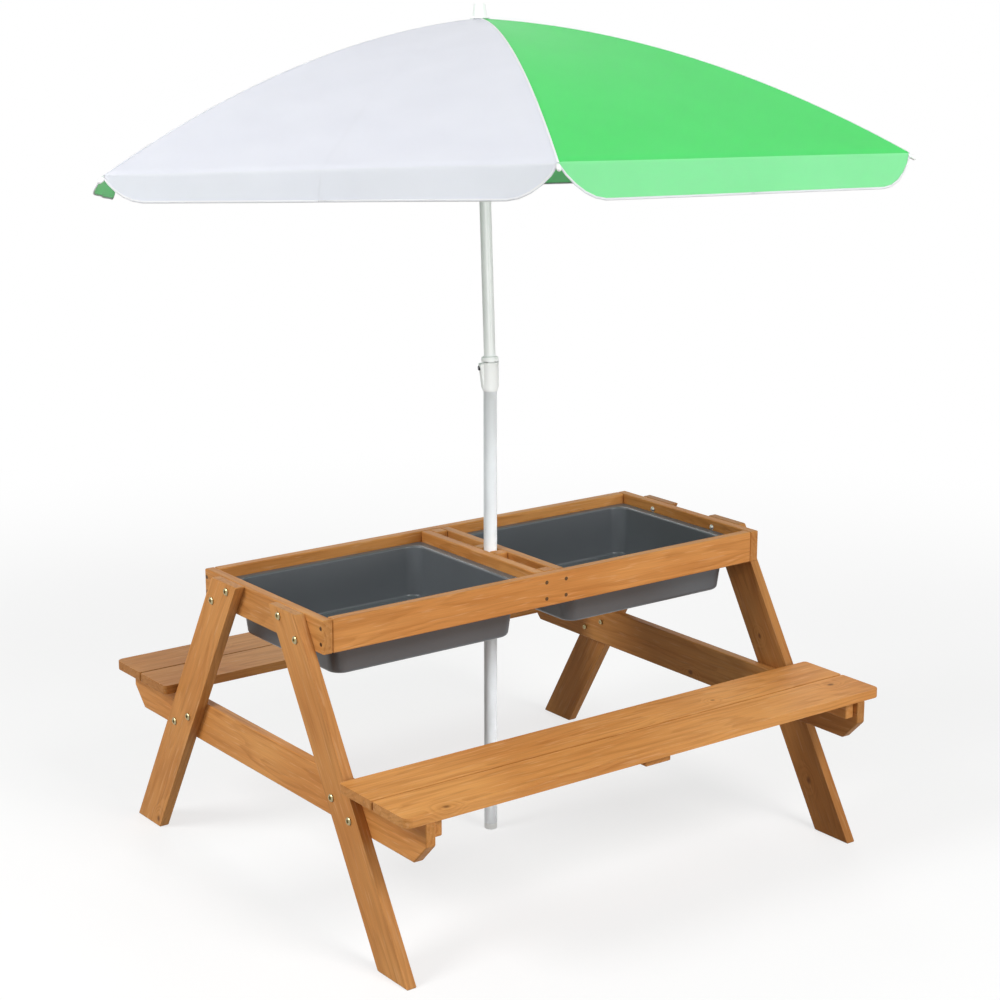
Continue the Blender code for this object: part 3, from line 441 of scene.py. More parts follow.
def fastener_tree(name, sides, look):
    """Heads at points, each with a sunk socket. sides is the number of the head's sides."""
    tree = bpy.data.node_groups.new(name, "GeometryNodeTree")
    face = tree.interface
    face.new_socket("Geometry", in_out="INPUT", socket_type="NodeSocketGeometry")
    for label, value in (("Head diameter", 12 * MM), ("Head height", 2 * MM), ("Rim chamfer", 0.5 * MM),
                         ("Socket diameter", 5 * MM), ("Socket depth", 1.4 * MM)):
        face.new_socket(label, in_out="INPUT", socket_type="NodeSocketFloat").default_value = value
    face.new_socket("Seed", in_out="INPUT", socket_type="NodeSocketInt").default_value = 4
    face.new_socket("Geometry", in_out="OUTPUT", socket_type="NodeSocketGeometry")
    given = add(tree, "NodeGroupInput").outputs
    radius = calc(tree, "MULTIPLY", given["Head diameter"], 0.5)
    socket_r = calc(tree, "MULTIPLY", given["Socket diameter"], 0.5)
    straight = calc(tree, "SUBTRACT", given["Head height"], given["Rim chamfer"])
    lift = calc(tree, "MULTIPLY", straight, 0.5)
    head = add(tree, "GeometryNodeMeshCylinder", {
        "Vertices": sides, "Radius": radius, "Depth": straight}).outputs["Mesh"]
    low = add(tree, "GeometryNodeTransform", {"Geometry": head, "Translation": add(
        tree, "ShaderNodeCombineXYZ", {"Z": lift}).outputs[0]}).outputs[0]
    small = calc(tree, "SUBTRACT", radius, given["Rim chamfer"])
    cap = add(tree, "GeometryNodeMeshCone", {"Vertices": sides, "Radius Top": small, "Radius Bottom": radius,
                                             "Depth": given["Rim chamfer"]}).outputs["Mesh"]
    high = add(tree, "GeometryNodeTransform", {"Geometry": cap, "Translation": add(
        tree, "ShaderNodeCombineXYZ", {"Z": straight}).outputs[0]}).outputs[0]
    whole = add(tree, "GeometryNodeMeshBoolean", {}, operation="UNION", solver="EXACT")
    tree.links.new(low, whole.inputs["Mesh 2"])
    tree.links.new(high, whole.inputs["Mesh 2"])
    double = calc(tree, "MULTIPLY", given["Socket depth"], 2)
    key = add(tree, "GeometryNodeMeshCylinder", {"Vertices": 6, "Radius": socket_r, "Depth": double}).outputs["Mesh"]
    sunk = add(tree, "GeometryNodeTransform", {"Geometry": key, "Translation": add(
        tree, "ShaderNodeCombineXYZ", {"Z": given["Head height"]}).outputs[0]}).outputs[0]
    cut = add(tree, "GeometryNodeMeshBoolean", {"Mesh 1": whole.outputs["Mesh"]}, operation="DIFFERENCE",
              solver="EXACT")
    tree.links.new(sunk, cut.inputs["Mesh 2"])
    aim = add(tree, "GeometryNodeInputNamedAttribute", {"Name": "aim"}, data_type="FLOAT_VECTOR").outputs["Attribute"]
    turned = add(tree, "FunctionNodeAlignRotationToVector", {"Vector": aim}, axis="Z").outputs[0]
    spin = add(tree, "FunctionNodeRandomValue", {"Min": (0, 0, 0), "Max": (0, 0, 2 * pi), "Seed": given["Seed"]},
               data_type="FLOAT_VECTOR").outputs[0]
    spun = add(tree, "FunctionNodeRotateRotation", {"Rotation": turned, "Rotate By": spin},
               rotation_space="LOCAL").outputs[0]
    heads = add(tree, "GeometryNodeInstanceOnPoints", {"Points": given["Geometry"], "Instance": cut.outputs["Mesh"],
                                                       "Rotation": spun}).outputs[0]
    real = add(tree, "GeometryNodeRealizeInstances", {"Geometry": heads}).outputs[0]
    finished = add(tree, "GeometryNodeSetMaterial", {"Geometry": real, "Material": look}).outputs[0]
    add(tree, "NodeGroupOutput", {"Geometry": finished})
    return tree


def fasteners(name, spots, tree, body, slot=None, **sizes):
    """Fasteners at (place, aim) spots, as one plain mesh on a body."""
    mesh = bpy.data.meshes.new(name)
    mesh.from_pydata([p for p, _ in spots], [], [])
    aim = mesh.attributes.new("aim", "FLOAT_VECTOR", "POINT")
    aim.data.foreach_set("vector", [c for _, a in spots for c in a])
    obj = place(bpy.data.objects.new(name, mesh))
    modifier = obj.modifiers.new("fasteners", "NODES")
    modifier.node_group = tree
    labels = {i.name: i.identifier for i in tree.interface.items_tree if i.in_out == "INPUT"}
    for label, value in sizes.items():
        modifier[labels[label.replace("_", " ")]] = value
    apply_modifiers(obj)
    obj.data.shade_flat()
    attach(obj, body)
    print(name, len(spots), "pieces,", len(obj.data.polygons), "faces")
    return obj


bolt_tree = fastener_tree("socket_head", 24, zinc)
nut_tree = fastener_tree("hex_nut", 6, zinc)
screw_tree = fastener_tree("countersunk_head", 16, dark_zinc)
cap_tree = fastener_tree("cap_nut", 20, pale_zinc)

# %% Bolts, nuts and screws in place
LEG_FACE = 455.6 * MM  # these three are distances of faces from the table's middle, along X
RAIL_FACE = 438 * MM
NUT_FACE = 420.8 * MM
SIDE_FACE = 178.5 * MM  # and this one along Y
rail_spots = [(y, z) for s in (-1, 1) for y, z in ((s * 79 * MM, 482.5 * MM), (s * 127 * MM, 456.5 * MM))]
support_spots = [(y, z) for s in (-1, 1) for y, z in ((s * 220.5 * MM, 235 * MM), (s * 268 * MM, 213.5 * MM))]
bolts = [((s * LEG_FACE, y, z), (s, 0, 0)) for s in (-1, 1) for y, z in rail_spots + support_spots]
nuts = [((s * NUT_FACE, y, z), (-s, 0, 0)) for s in (-1, 1) for y, z in rail_spots[1::2] + support_spots]
fasteners("leg_bolts", bolts, bolt_tree, "table", Head_diameter=12.5 * MM, Head_height=2.6 * MM, Rim_chamfer=1.3 * MM,
          Socket_diameter=6.4 * MM, Socket_depth=2.1 * MM)
fasteners("leg_nuts", nuts, nut_tree, "table", Head_diameter=9.2 * MM, Head_height=4 * MM, Rim_chamfer=0.6 * MM,
          Socket_diameter=4.4 * MM, Socket_depth=1 * MM)
bolt_ends = [((s * NUT_FACE, y, z), (-s, 0, 0)) for s in (-1, 1) for y, z in rail_spots[::2]]
fasteners("bolt_ends", bolt_ends, cap_tree, "table", Head_diameter=9.6 * MM, Head_height=3.6 * MM,
          Rim_chamfer=2.9 * MM, Socket_diameter=2 * MM, Socket_depth=0.3 * MM)
end_screws = [((s * RAIL_FACE, t * y, z), (s, 0, 0)) for s in (-1, 1) for t in (-1, 1)
              for y, z in ((172 * MM, 482 * MM), (172 * MM, 457.5 * MM))]
front_screws = [((x, s * SIDE_FACE, z), (0, s, 0)) for s in (-1, 1) for x in (-19.5 * MM, 19.5 * MM)
                for z in (482 * MM, 455 * MM)]
fasteners("corner_screws", end_screws + front_screws, screw_tree, "table", Head_diameter=6.4 * MM,
          Head_height=0.5 * MM, Rim_chamfer=0.2 * MM, Socket_diameter=2.6 * MM, Socket_depth=0.4 * MM)

# %% [markdown]
# ## Moulded plastic
#
# The tubs are injection-moulded polypropylene in slate grey. It gives the eye a soft, slightly
# waxy gloss over a fine spark-eroded texture, and a lighter line wherever an edge turns to the
# light. The umbrella's joint, crown, runner, finial and foot are the same plastic in white.

# %% Plastic finish


def plastic_finish(name, colour, rough, grit=1.1 * MM, depth=0.05 * MM):
    """Moulded polypropylene, or a powder coat. A mould's 0.1 mm grit is drawn 1.1 mm coarse, so that it shows."""
    made, tree, shader = finish_tree(name)
    at = add(tree, "ShaderNodeTexCoord").outputs["Object"]
    grain = cloudy(tree, at, 1 / grit, 1)
    flow = cloudy(tree, at, 9, 2)
    shade = ramp(tree, flow, 0.3, 0.7, 0.95, 1.03)
    tone = scaled(tree, linear(colour)[:3], shade)
    gloss = ramp(tree, grain, start=rough - 0.05, end=rough + 0.07)
    relief = add(tree, "ShaderNodeBump", {"Height": grain, "Strength": 0.35, "Distance": depth}).outputs[0]
    feed(tree, shader, {"Base Color": tone, "Roughness": gloss, "Normal": relief, "IOR": 1.49})
    return made


grey_plastic = plastic_finish("grey_polypropylene", "5C6064", 0.3)
white_plastic = plastic_finish("white_polypropylene", "F1F3F2", 0.38)
print("plastic finishes:", grey_plastic.name, white_plastic.name)

# %% [markdown]
# ## The tubs
#
# A tub is one moulded shell: a flat flange that rests on two ledgers, a rolled lip, walls that
# lean in a little so that the tub leaves its mould, and a floor with a generous radius. It is
# lofted here through rounded rectangles that have three times the corner steps of the CAD shell,
# given its wall by Solidify, and its rim is rounded. The shape and place are those of the CAD tub.

# %% Tubs as lofted shells
TUB_WALL = 2.4 * MM
TUB_DEPTH = 88 * MM
TUB_CORNER = 25 * MM
FLANGE_X, FLANGE_Y = 19 * MM, 14 * MM
LIP = 3 * MM  # radius from flange to wall
KNEE = 5 * MM  # radius from wall to floor
DRAFT = 9 * MM  # how far the walls lean in over the whole depth


def rounded_ring(half_x, half_y, corner, z, steps=12):
    ring = []
    for quarter, (sx, sy) in enumerate(((1, 1), (-1, 1), (-1, -1), (1, -1))):
        for step in range(steps + 1):
            turn = (quarter + step / steps) * pi / 2
            ring.append(Vector((sx * (half_x - corner) + corner * cos(turn),
                                sy * (half_y - corner) + corner * sin(turn), z)))
    return ring


def loft(name, rings, floor=True):
    """Quads between rings of the same count, and a face over the last ring."""
    count = len(rings[0])
    points = [p for ring in rings for p in ring]
    faces = [(r * count + i, (r + 1) * count + i, (r + 1) * count + (i + 1) % count, r * count + (i + 1) % count)
             for r in range(len(rings) - 1) for i in range(count)]
    if floor:
        faces.append(tuple(range((len(rings) - 1) * count, len(rings) * count)))
    mesh = bpy.data.meshes.new(name)
    mesh.from_pydata(points, [], faces)
    shape = bmesh.new()
    shape.from_mesh(mesh)
    bmesh.ops.remove_doubles(shape, verts=shape.verts, dist=0.001 * MM)
    bmesh.ops.recalc_face_normals(shape, faces=shape.faces)
    if floor and max(shape.faces, key=lambda f: f.calc_area()).normal.z < 0:
        bmesh.ops.reverse_faces(shape, faces=shape.faces)
    shape.to_mesh(mesh)
    shape.free()
    mesh.shade_smooth()
    return mesh


def tub_rings(out_x, out_y):
    """Rounded rectangles from the flange's rim over the lip and down the wall to the floor."""
    mouth_x, mouth_y = out_x - FLANGE_X, out_y - FLANGE_Y
    rings = [rounded_ring(out_x, out_y, 9 * MM, 0), rounded_ring(out_x - 2.5 * MM, out_y - 2.5 * MM, 7 * MM, 0)]
    for step in range(7):
        turn = step / 6 * pi / 2
        ease = LIP * (1 - sin(turn))
        rings.append(rounded_ring(mouth_x + ease, mouth_y + ease, TUB_CORNER + ease, -LIP * (1 - cos(turn))))
    bottom = TUB_WALL - TUB_DEPTH
    draft = DRAFT * (1 - KNEE / TUB_DEPTH)
    for share in (0.5, 1):
        z = -LIP + (bottom + KNEE + LIP) * share
        inward = draft * share
        rings.append(rounded_ring(mouth_x - inward, mouth_y - inward, TUB_CORNER - inward / 2, z))
    for step in range(1, 9):
        turn = step / 8 * pi / 2
        inward = draft + KNEE * (1 - cos(turn))
        z = bottom + KNEE - KNEE * sin(turn)
        rings.append(rounded_ring(mouth_x - inward, mouth_y - inward, TUB_CORNER - inward / 2, z))
    return rings


for side in ("left", "right"):
    low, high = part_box(f"{side}_tub")
    tub = place(bpy.data.objects.new(f"{side}_tub_shell", loft(f"{side}_tub_shell", tub_rings(
        (high.x - low.x) / 2, (high.y - low.y) / 2))))
    tub.data.transform(Matrix.Translation(((low.x + high.x) / 2, (low.y + high.y) / 2, high.z)))
    wall = tub.modifiers.new("wall", "SOLIDIFY")
    wall.thickness = TUB_WALL
    wall.offset = -1
    wall.use_even_offset = True
    rim = tub.modifiers.new("rim", "BEVEL")
    rim.width = 0.8 * MM
    rim.segments = 3
    rim.limit_method = "ANGLE"
    rim.angle_limit = radians(60)
    dress(apply_modifiers(tub), f"{side}_tub", grey_plastic)
    print(tub.name, len(tub.data.polygons), "faces, floor", round((high.z - low.z) / MM), "mm below the flange")

# %% [markdown]
# ## The umbrella's own frame
#
# The umbrella stands turned in the table and leans away from the camera at its tilt joint. Its
# ribs, crown and cloth are easiest to describe in a frame whose origin is the top of the cloth and
# whose Z runs up the pole. The curves below are those of the CAD model, so the ribs lie under the
# cloth made here.

# %% Frame and curves of the canopy
TURN = radians(-19.5)  # of the umbrella in its slot
JOINT_HEIGHT = 800.5 * MM
LEAN = radians(-5.5)  # of the upper pole at the tilt joint
MAST = 554.5 * MM  # from the tilt joint to the top of the cloth
hub = (Matrix.Rotation(TURN, 4, "Z") @ Matrix.Translation((0, 0, JOINT_HEIGHT))
       @ Matrix.Rotation(LEAN, 4, "X") @ Matrix.Translation((0, 0, MAST)))
REACH = 681 * MM  # from the pole to the cloth's corners
DOME = 229 * MM  # from the top of the cloth down to its corners
BEND = 0.71  # the share of that fall which grows with the square of the radius
STEP = pi / 3
FIRST_RIB = radians(-98.5)
HOLE_R = 13.5 * MM  # of the hole in the cloth, under the finial


def cloth_z(radius):
    share = radius / REACH
    return -DOME * ((1 - BEND) * share + BEND * share ** 2)


def rib_turn(index):
    return FIRST_RIB + index * STEP


print("apex at", [round(c, 3) for c in hub.translation], "rim", round(cloth_z(REACH), 3), "below it")

# %% [markdown]
# ## Canopy cloth
#
# Six gores of coated polyester, green and white in turn, are cut to fall in a curve from the
# finial to the rib tips, and each ends in a short valance with a rounded notch at the ribs. The
# canopy is one taut, curved surface: tight along the seams, a few millimetres slack between them,
# with fine tension folds that run in from each tip. A gore is split down its middle into two halves
# that meet edge to edge, so that each half can follow its own rib when the umbrella folds, and each
# half into an upper and a lower piece, because the narrow upper end gathers less.

# %% Cloth finishes


def cloth_finish(name, colour, slack):
    """Coated polyester taffeta: a matt, even colour with a faint sheen at grazing angles.

    Its threads are 0.2 mm apart. The weave is drawn at 2 mm, so that a trace of it shows.
    """
    made, tree, shader = finish_tree(name)
    flat = add(tree, "ShaderNodeUVMap", uv_map="cut").outputs[0]
    weft = add(tree, "ShaderNodeTexWave", {"Vector": flat, "Scale": 160, "Distortion": 0.6, "Detail": 1},
               bands_direction="X").outputs["Fac"]
    warp = add(tree, "ShaderNodeTexWave", {"Vector": flat, "Scale": 160, "Distortion": 0.6, "Detail": 1},
               bands_direction="Y").outputs["Fac"]
    weave = calc(tree, "MULTIPLY", weft, warp)
    soft = cloudy(tree, flat, slack, 2)
    shade = ramp(tree, soft, 0.3, 0.7, 0.97, 1.02)
    tone = scaled(tree, linear(colour)[:3], shade)
    height = calc(tree, "MULTIPLY_ADD", weave, 0.15, soft)
    relief = add(tree, "ShaderNodeBump", {"Height": height, "Strength": 0.2, "Distance": 1.2 * MM}).outputs[0]
    feed(tree, shader, {
        "Base Color": tone, "Roughness": 0.75, "Normal": relief, "Specular IOR Level": 0.2,
        "Subsurface Weight": 0.85, "Subsurface Radius": (1, 1, 1),
        "Subsurface Scale": 3 * MM,  # more than the cloth is thick, so light comes through
        "Sheen Weight": 0.08, "Sheen Roughness": 0.4})
    return made


CLOTHS = {  # of each colour the cloth of the panels and that of the valances, painted lighter in green as painted light shining through the hanging cloth; the white copy differs only slightly
    "green": (cloth_finish("green_polyester", "4DD268", 7), cloth_finish("green_polyester_painted_light", "82E898", 7)),
    "white": (cloth_finish("white_polyester", "DBDFF0", 7), cloth_finish("white_polyester_painted_light", "DCE1EF", 7)),
}
binding = cloth_finish("white_binding_tape", "E6E8EE", 30)
print("cloth finishes:", [m.name for pair in CLOTHS.values() for m in pair])

# %% Half gores
ROWS = 44
FALL_ROWS = 7
COLUMNS = 18
CLOTH_THICK = 0.7 * MM
ARC = 0.75  # metres of cloth from the finial to a rib's tip
SLACK = 5 * MM  # in the middle between two ribs
VALANCE = 46 * MM
HEM_WAVE = 1.6 * MM
NOTCH = 72 * MM  # how far from a rib the hem reaches its depth
TIP_DROP = 2 * MM
FOLDS = 9  # fine folds in half a turn round a rib's tip
FOLD_HEIGHT = 0.9 * MM
FOLD_RUN = 0.3  # metres
# How deep the hem hangs beside each rib, and how far it swings out, in millimetres, for a panel's two halves
HANG = {0: ((50, 12), (50, 12)), 1: ((40, -4), (46, 10)), 2: ((38, 12), (38, 12)), 4: ((42, 3), (22, 40)),
        5: ((38, 12), (47, 12))}


def tension(across_run, along_run):
    """Fine folds that run in from a rib tip and die out over the panel."""
    away = hypot(across_run, along_run)
    turn = atan2(across_run, along_run)
    return FOLD_HEIGHT * sin(FOLDS * turn) * sin(turn) * max(0, 1 - away / FOLD_RUN) ** 2


def gore_point(along, across, index):
    """A point on the cloth: along 0 at the finial, 1 at the rib tips, 2 at the hem."""
    share = min(along, 1)
    radius = HOLE_R + (REACH - HOLE_R) * share
    width = 2 * radius * sin(STEP / 2)
    first, second = (Vector((radius * cos(rib_turn(i)), radius * sin(rib_turn(i)), 0)) for i in (index, index + 1))
    point = first.lerp(second, across)
    run = min(across, 1 - across) * width
    point.z = cloth_z(radius) - SLACK * sin(pi * share) * sin(pi * across)
    point.z += tension(run, (REACH - radius)) * (1 if across < 0.5 else -1)
    fall = max(along - 1, 0)
    if fall:
        (deep_a, out_a), (deep_b, out_b) = HANG.get(index, ((46, 12), (46, 12)))
        deep = (deep_a + (deep_b - deep_a) * across) * MM
        depth = TIP_DROP + (deep - TIP_DROP) * sin(pi / 2 * min(run / NOTCH, 1) ** 0.8)
        wave = HEM_WAVE * sin(across * 6 * pi) * fall
        flare = (out_a + (out_b - out_a) * across) * MM * depth / VALANCE * fall + wave * min(run / NOTCH, 1)
        outward = rib_turn(index) + STEP / 2
        point += Vector((flare * cos(outward), flare * sin(outward), -depth * fall))
    return point


def half_gore(index, side, looks, rows):
    """Some rows of half a panel, from a rib (side 0) or up to the next rib (side 1)."""
    mesh = bpy.data.meshes.new(f"gore_{index + 1}{'ab'[side]}")
    shape = bmesh.new()
    cut = shape.loops.layers.uv.new("cut")
    grid, flat = [], {}
    for row in rows:
        along = row / ROWS if row <= ROWS else 1 + (row - ROWS) / FALL_ROWS
        line = []
        for column in range(COLUMNS + 1):
            step = (column / COLUMNS) ** 1.25 / 2  # columns stand closer together beside the rib
            across = 1 - step if side else step
            vert = shape.verts.new(hub @ gore_point(along, across, index))
            width = 2 * (HOLE_R + (REACH - HOLE_R) * min(along, 1)) * sin(STEP / 2)
            flat[vert] = ((across - 0.5) * width, along * ARC if along <= 1 else ARC + VALANCE * (along - 1))
            line.append(vert)
        grid.append(line)
    for row, upper, lower in zip(rows, grid, grid[1:]):
        for a, b, c, d in zip(upper, lower, lower[1:], upper[1:]):
            face = shape.faces.new((a, d, c, b) if side else (a, b, c, d))
            face.material_index = int(row >= ROWS)
            for loop in face.loops:
                loop[cut].uv = flat[loop.vert]
    shape.to_mesh(mesh)
    hem = [v.co.copy() for v in grid[-1]]
    shape.free()
    for look in looks:
        mesh.materials.append(look)
    obj = place(bpy.data.objects.new(f"canopy_half_{index + 1}{'ab'[side]}_{'lower' if rows[0] else 'upper'}", mesh))
    thin = obj.modifiers.new("cloth", "SOLIDIFY")
    thin.thickness = CLOTH_THICK
    thin.offset = -1
    apply_modifiers(obj).data.shade_smooth()
    obj.data.set_sharp_from_angle(angle=radians(45))
    return obj, hem


SPLIT = 15  # the row at which a half is cut in two
BANDS = (  # rows, the width that is left when folded, the flat piece's size and its area
    (range(SPLIT + 1), 0.34, (0.13, 0.27), 0.0175),
    (range(SPLIT, ROWS + FALL_ROWS + 1), 0.27, (0.34, 0.55), 0.138),
)
sample, _ = half_gore(0, 0, CLOTHS["green"], BANDS[0][0])
middle = sum((p.normal for p in sample.data.polygons[:SPLIT * COLUMNS]), Vector()).normalized()
print("outer faces point", "up" if middle.z > 0 else "down", "on", len(sample.data.polygons), "faces")
bpy.data.objects.remove(sample)

# %% [markdown]
# ## Binding and seams
#
# A white tape is folded over the hem of every panel and sewn down, and another covers each seam
# above its rib. The hem tape is swept along the hem's own points, so it follows the notch at each
# rib. Every piece of cloth then rides on its rib.

# %% Hem tape and canopy in place
HEM_HEIGHT, HEM_THICK, HEM_SIDES = 3.4 * MM, 2 * MM, 10


def tape(points, height, thick, out, name):
    """A flat closed band along points, with rounded edges, its broad side facing out."""
    shape = bmesh.new()
    rings = []
    for i, point in enumerate(points):
        run = (points[min(i + 1, len(points) - 1)] - points[max(i - 1, 0)]).normalized()
        side = (out - run * out.dot(run)).normalized()
        up = side.cross(run).normalized()
        ring = []
        for turn in range(HEM_SIDES):
            angle = 2 * pi * turn / HEM_SIDES
            ring.append(shape.verts.new(point + up * (height / 2 * cos(angle)) + side * (thick / 2 * sin(angle))))
        rings.append(ring)
    for first, second in zip(rings, rings[1:]):
        for i in range(HEM_SIDES):
            shape.faces.new((first[i], first[(i + 1) % HEM_SIDES], second[(i + 1) % HEM_SIDES], second[i]))
    shape.faces.new(rings[0][::-1])
    shape.faces.new(rings[-1])
    bmesh.ops.recalc_face_normals(shape, faces=shape.faces)
    mesh = bpy.data.meshes.new(name)
    shape.to_mesh(mesh)
    shape.free()
    mesh.shade_smooth()
    return mesh


def join(target, mesh, look):
    """Adds a mesh to an object as faces with one more material."""
    target.data.materials.append(look)
    number = len(target.data.materials) - 1
    shape = bmesh.new()
    shape.from_mesh(target.data)
    count = len(shape.faces)
    shape.from_mesh(mesh)
    shape.faces.ensure_lookup_table()
    for face in shape.faces[count:]:
        face.material_index = number
    shape.to_mesh(target.data)
    shape.free()


for index in range(6):
    colour = "green" if index % 2 == 0 else "white"
    outward = hub.to_3x3() @ Vector((cos(rib_turn(index) + STEP / 2), sin(rib_turn(index) + STEP / 2), 0))
    for side, (rows, keep, flat, area) in [(side, band) for side in (0, 1) for band in BANDS]:
        cloth, hem = half_gore(index, side, CLOTHS[colour], rows)
        if rows[0]:
            join(cloth, tape(hem, HEM_HEIGHT, HEM_THICK, outward, "hem"), binding)
        rib = (index + side) % 6
        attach(cloth, f"rib_{rib + 1}")
        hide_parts(f"canopy_panel_{index + 1}")
        # The tip of the rib that it rides on
        turn = rib_turn(index + side)
        tip = hub @ Vector((REACH * cos(turn), REACH * sin(turn), cloth_z(REACH)))
        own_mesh(cloth)
print("canopy: 24 pieces of gores, a lower one with", len(cloth.data.polygons), "faces")

# %% Seam tapes


def seam_tree(look):
    """A flat tape over one rib: a line, bent to the cloth's curve, with a rounded band as profile."""
    tree = bpy.data.node_groups.new("seam_tape", "GeometryNodeTree")
    face = tree.interface
    face.new_socket("Geometry", in_out="INPUT", socket_type="NodeSocketGeometry")
    for label, value in (("Start", 15 * MM), ("End", REACH), ("Width", 3.6 * MM), ("Thickness", 1.4 * MM),
                         ("Turn", 0.0)):
        face.new_socket(label, in_out="INPUT", socket_type="NodeSocketFloat").default_value = value
    face.new_socket("Geometry", in_out="OUTPUT", socket_type="NodeSocketGeometry")
    given = add(tree, "NodeGroupInput").outputs
    start = add(tree, "ShaderNodeCombineXYZ", {"X": given["Start"]}).outputs[0]
    end = add(tree, "ShaderNodeCombineXYZ", {"X": given["End"]}).outputs[0]
    line = add(tree, "GeometryNodeCurvePrimitiveLine", {"Start": start, "End": end}).outputs[0]
    many = add(tree, "GeometryNodeResampleCurve", {"Curve": line, "Count": 60}).outputs[0]
    at = add(tree, "ShaderNodeSeparateXYZ", {0: add(tree, "GeometryNodeInputPosition").outputs[0]}).outputs
    share = calc(tree, "DIVIDE", at["X"], REACH)
    bend = calc(tree, "MULTIPLY_ADD", share, BEND, 1 - BEND)
    drop = calc(tree, "MULTIPLY", share, bend)
    fall = calc(tree, "MULTIPLY", drop, -DOME)
    bent = add(tree, "GeometryNodeSetPosition", {"Geometry": many, "Offset": add(
        tree, "ShaderNodeCombineXYZ", {"Z": fall}).outputs[0]}).outputs[0]
    band = add(tree, "GeometryNodeCurvePrimitiveCircle", {"Resolution": 12, "Radius": 0.5}).outputs[0]
    flat = add(tree, "ShaderNodeCombineXYZ", {"X": given["Width"], "Y": given["Thickness"], "Z": 1.0}).outputs[0]
    profile = add(tree, "GeometryNodeTransform", {"Geometry": band, "Scale": flat}).outputs[0]
    swept = add(tree, "GeometryNodeCurveToMesh", {
        "Curve": bent, "Profile Curve": profile, "Fill Caps": True}).outputs[0]
    turn = add(tree, "ShaderNodeCombineXYZ", {"Z": given["Turn"]}).outputs[0]
    turned = add(tree, "GeometryNodeTransform", {"Geometry": swept, "Rotation": turn}).outputs[0]
    real = add(tree, "GeometryNodeRealizeInstances", {"Geometry": turned}).outputs[0]
    add(tree, "NodeGroupOutput", {"Geometry": add(tree, "GeometryNodeSetMaterial", {
        "Geometry": real, "Material": look}).outputs[0]})
    return tree


seams = seam_tree(binding)
for index in range(6):
    seam = place(bpy.data.objects.new(f"seam_tape_{index + 1}", bpy.data.meshes.new("seam")))
    modifier = seam.modifiers.new("tape", "NODES")
    modifier.node_group = seams
    turn_input = next(i.identifier for i in seams.interface.items_tree if i.name == "Turn")
    modifier[turn_input] = rib_turn(index)
    apply_modifiers(seam)
    seam.data.transform(hub)
    seam.data.shade_smooth()
    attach(seam, f"rib_{index + 1}")
print("seam tapes:", len(seam.data.polygons), "faces each")

# %% [markdown]
# ## Pole, joint and ribs
#
# The poles are steel tube under a white powder coat; below the joint the coat is painted a shade
# greyer, as painted shade. It gives the eye a bright, even line of light with the faintest
# orange-peel. They are turned again here with a rounder section. The moulded joint, crown and
# runner keep the CAD shape, with their edges rounded, and the rods of the frame are shaded smooth.
# A moulded cap sits on each rib's tip.

# %% Coated steel and turned pieces
coated_steel = plastic_finish("white_powder_coat", "EDF0EF", 0.3, grit=2.2 * MM, depth=0.03 * MM)
# Painted shade: the lower pole's coat is a greyer copy of the white one.
lower_coat_painted_shade = plastic_finish("white_powder_coat_painted_shade", "E1E5E8", 0.3, grit=2.2 * MM, depth=0.03 * MM)
LOWER_TUBE = (9.8 * MM, 11 * MM)  # inner and outer radius
UPPER_TUBE = (8.4 * MM, 9.5 * MM)
UPPER_ENDS = (13.2 * MM, 547.3 * MM)  # above the tilt joint


def turned(name, profile, steps=64):
    """A closed profile of (radius, z) turned about Z, as a smooth solid."""
    shape = bmesh.new()
    rings = [[shape.verts.new((r * cos(2 * pi * i / steps), r * sin(2 * pi * i / steps), z)) for i in range(steps)]
             for r, z in profile]
    for first, second in zip(rings, rings[1:] + rings[:1]):
        for i in range(steps):
            shape.faces.new((first[i], first[(i + 1) % steps], second[(i + 1) % steps], second[i]))
    bmesh.ops.remove_doubles(shape, verts=shape.verts, dist=0.005 * MM)
    bmesh.ops.dissolve_degenerate(shape, edges=shape.edges, dist=0.001 * MM)
    bmesh.ops.recalc_face_normals(shape, faces=shape.faces)
    mesh = bpy.data.meshes.new(name)
    shape.to_mesh(mesh)
    shape.free()
    mesh.shade_smooth()
    mesh.set_sharp_from_angle(angle=radians(40))
    return place(bpy.data.objects.new(name, mesh))


def tube_profile(inner, outer, low, high, ease=0.3 * MM):
    return [(outer, low + ease), (outer, high - ease), (outer - ease, high), (inner, high), (inner, low),
            (outer - ease, low)]


lower = turned("lower_pole_tube", tube_profile(*LOWER_TUBE, *(c.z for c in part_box("lower_pole"))))
dress(lower, "lower_pole", lower_coat_painted_shade)
leaning = hub @ Matrix.Translation((0, 0, -MAST))
upper = turned("upper_pole_tube", tube_profile(*UPPER_TUBE, *UPPER_ENDS))
upper.data.transform(leaning)
dress(upper, "upper_pole", coated_steel)

# %% Frame, joint and rib caps


def paint(node, look):
    for slot in nodes[node].material_slots:
        slot.material = look


END_SLOPE = atan2(DOME * (1 + BEND), REACH)  # of the cloth at a rib's tip
RIB_END = (688 * MM, 0, -237.7 * MM)  # from the top of the cloth, a little past its corner
CAP = ((0, -11), (2.9, -11), (3.2, -10.6), (3.2, 0), (2.7, 1.6), (1.5, 2.7), (0, 3))  # radius, height in mm
button_steel = metal_finish("dark_burnished_steel", "3A3A3D", 0.35)
for node in [f"{kind}_{number}" for kind in ("rib", "stretcher") for number in range(1, 7)]:
    rod = merged_copy(node, f"{node}_rod")
    rod.data.shade_smooth()
    rod.data.set_sharp_from_angle(angle=radians(50))
    dress(rod, node, coated_steel)
for node in ("pole_foot", "tilt_housing", "tilt_knuckle", "crown", "runner", "finial"):
    piece = soften(merged_copy(node, f"{node}_moulded"), 0.5 * MM)
    dress(piece, node, white_plastic)
for node in ("tilt_pin", "tilt_button"):
    paint(node, button_steel)
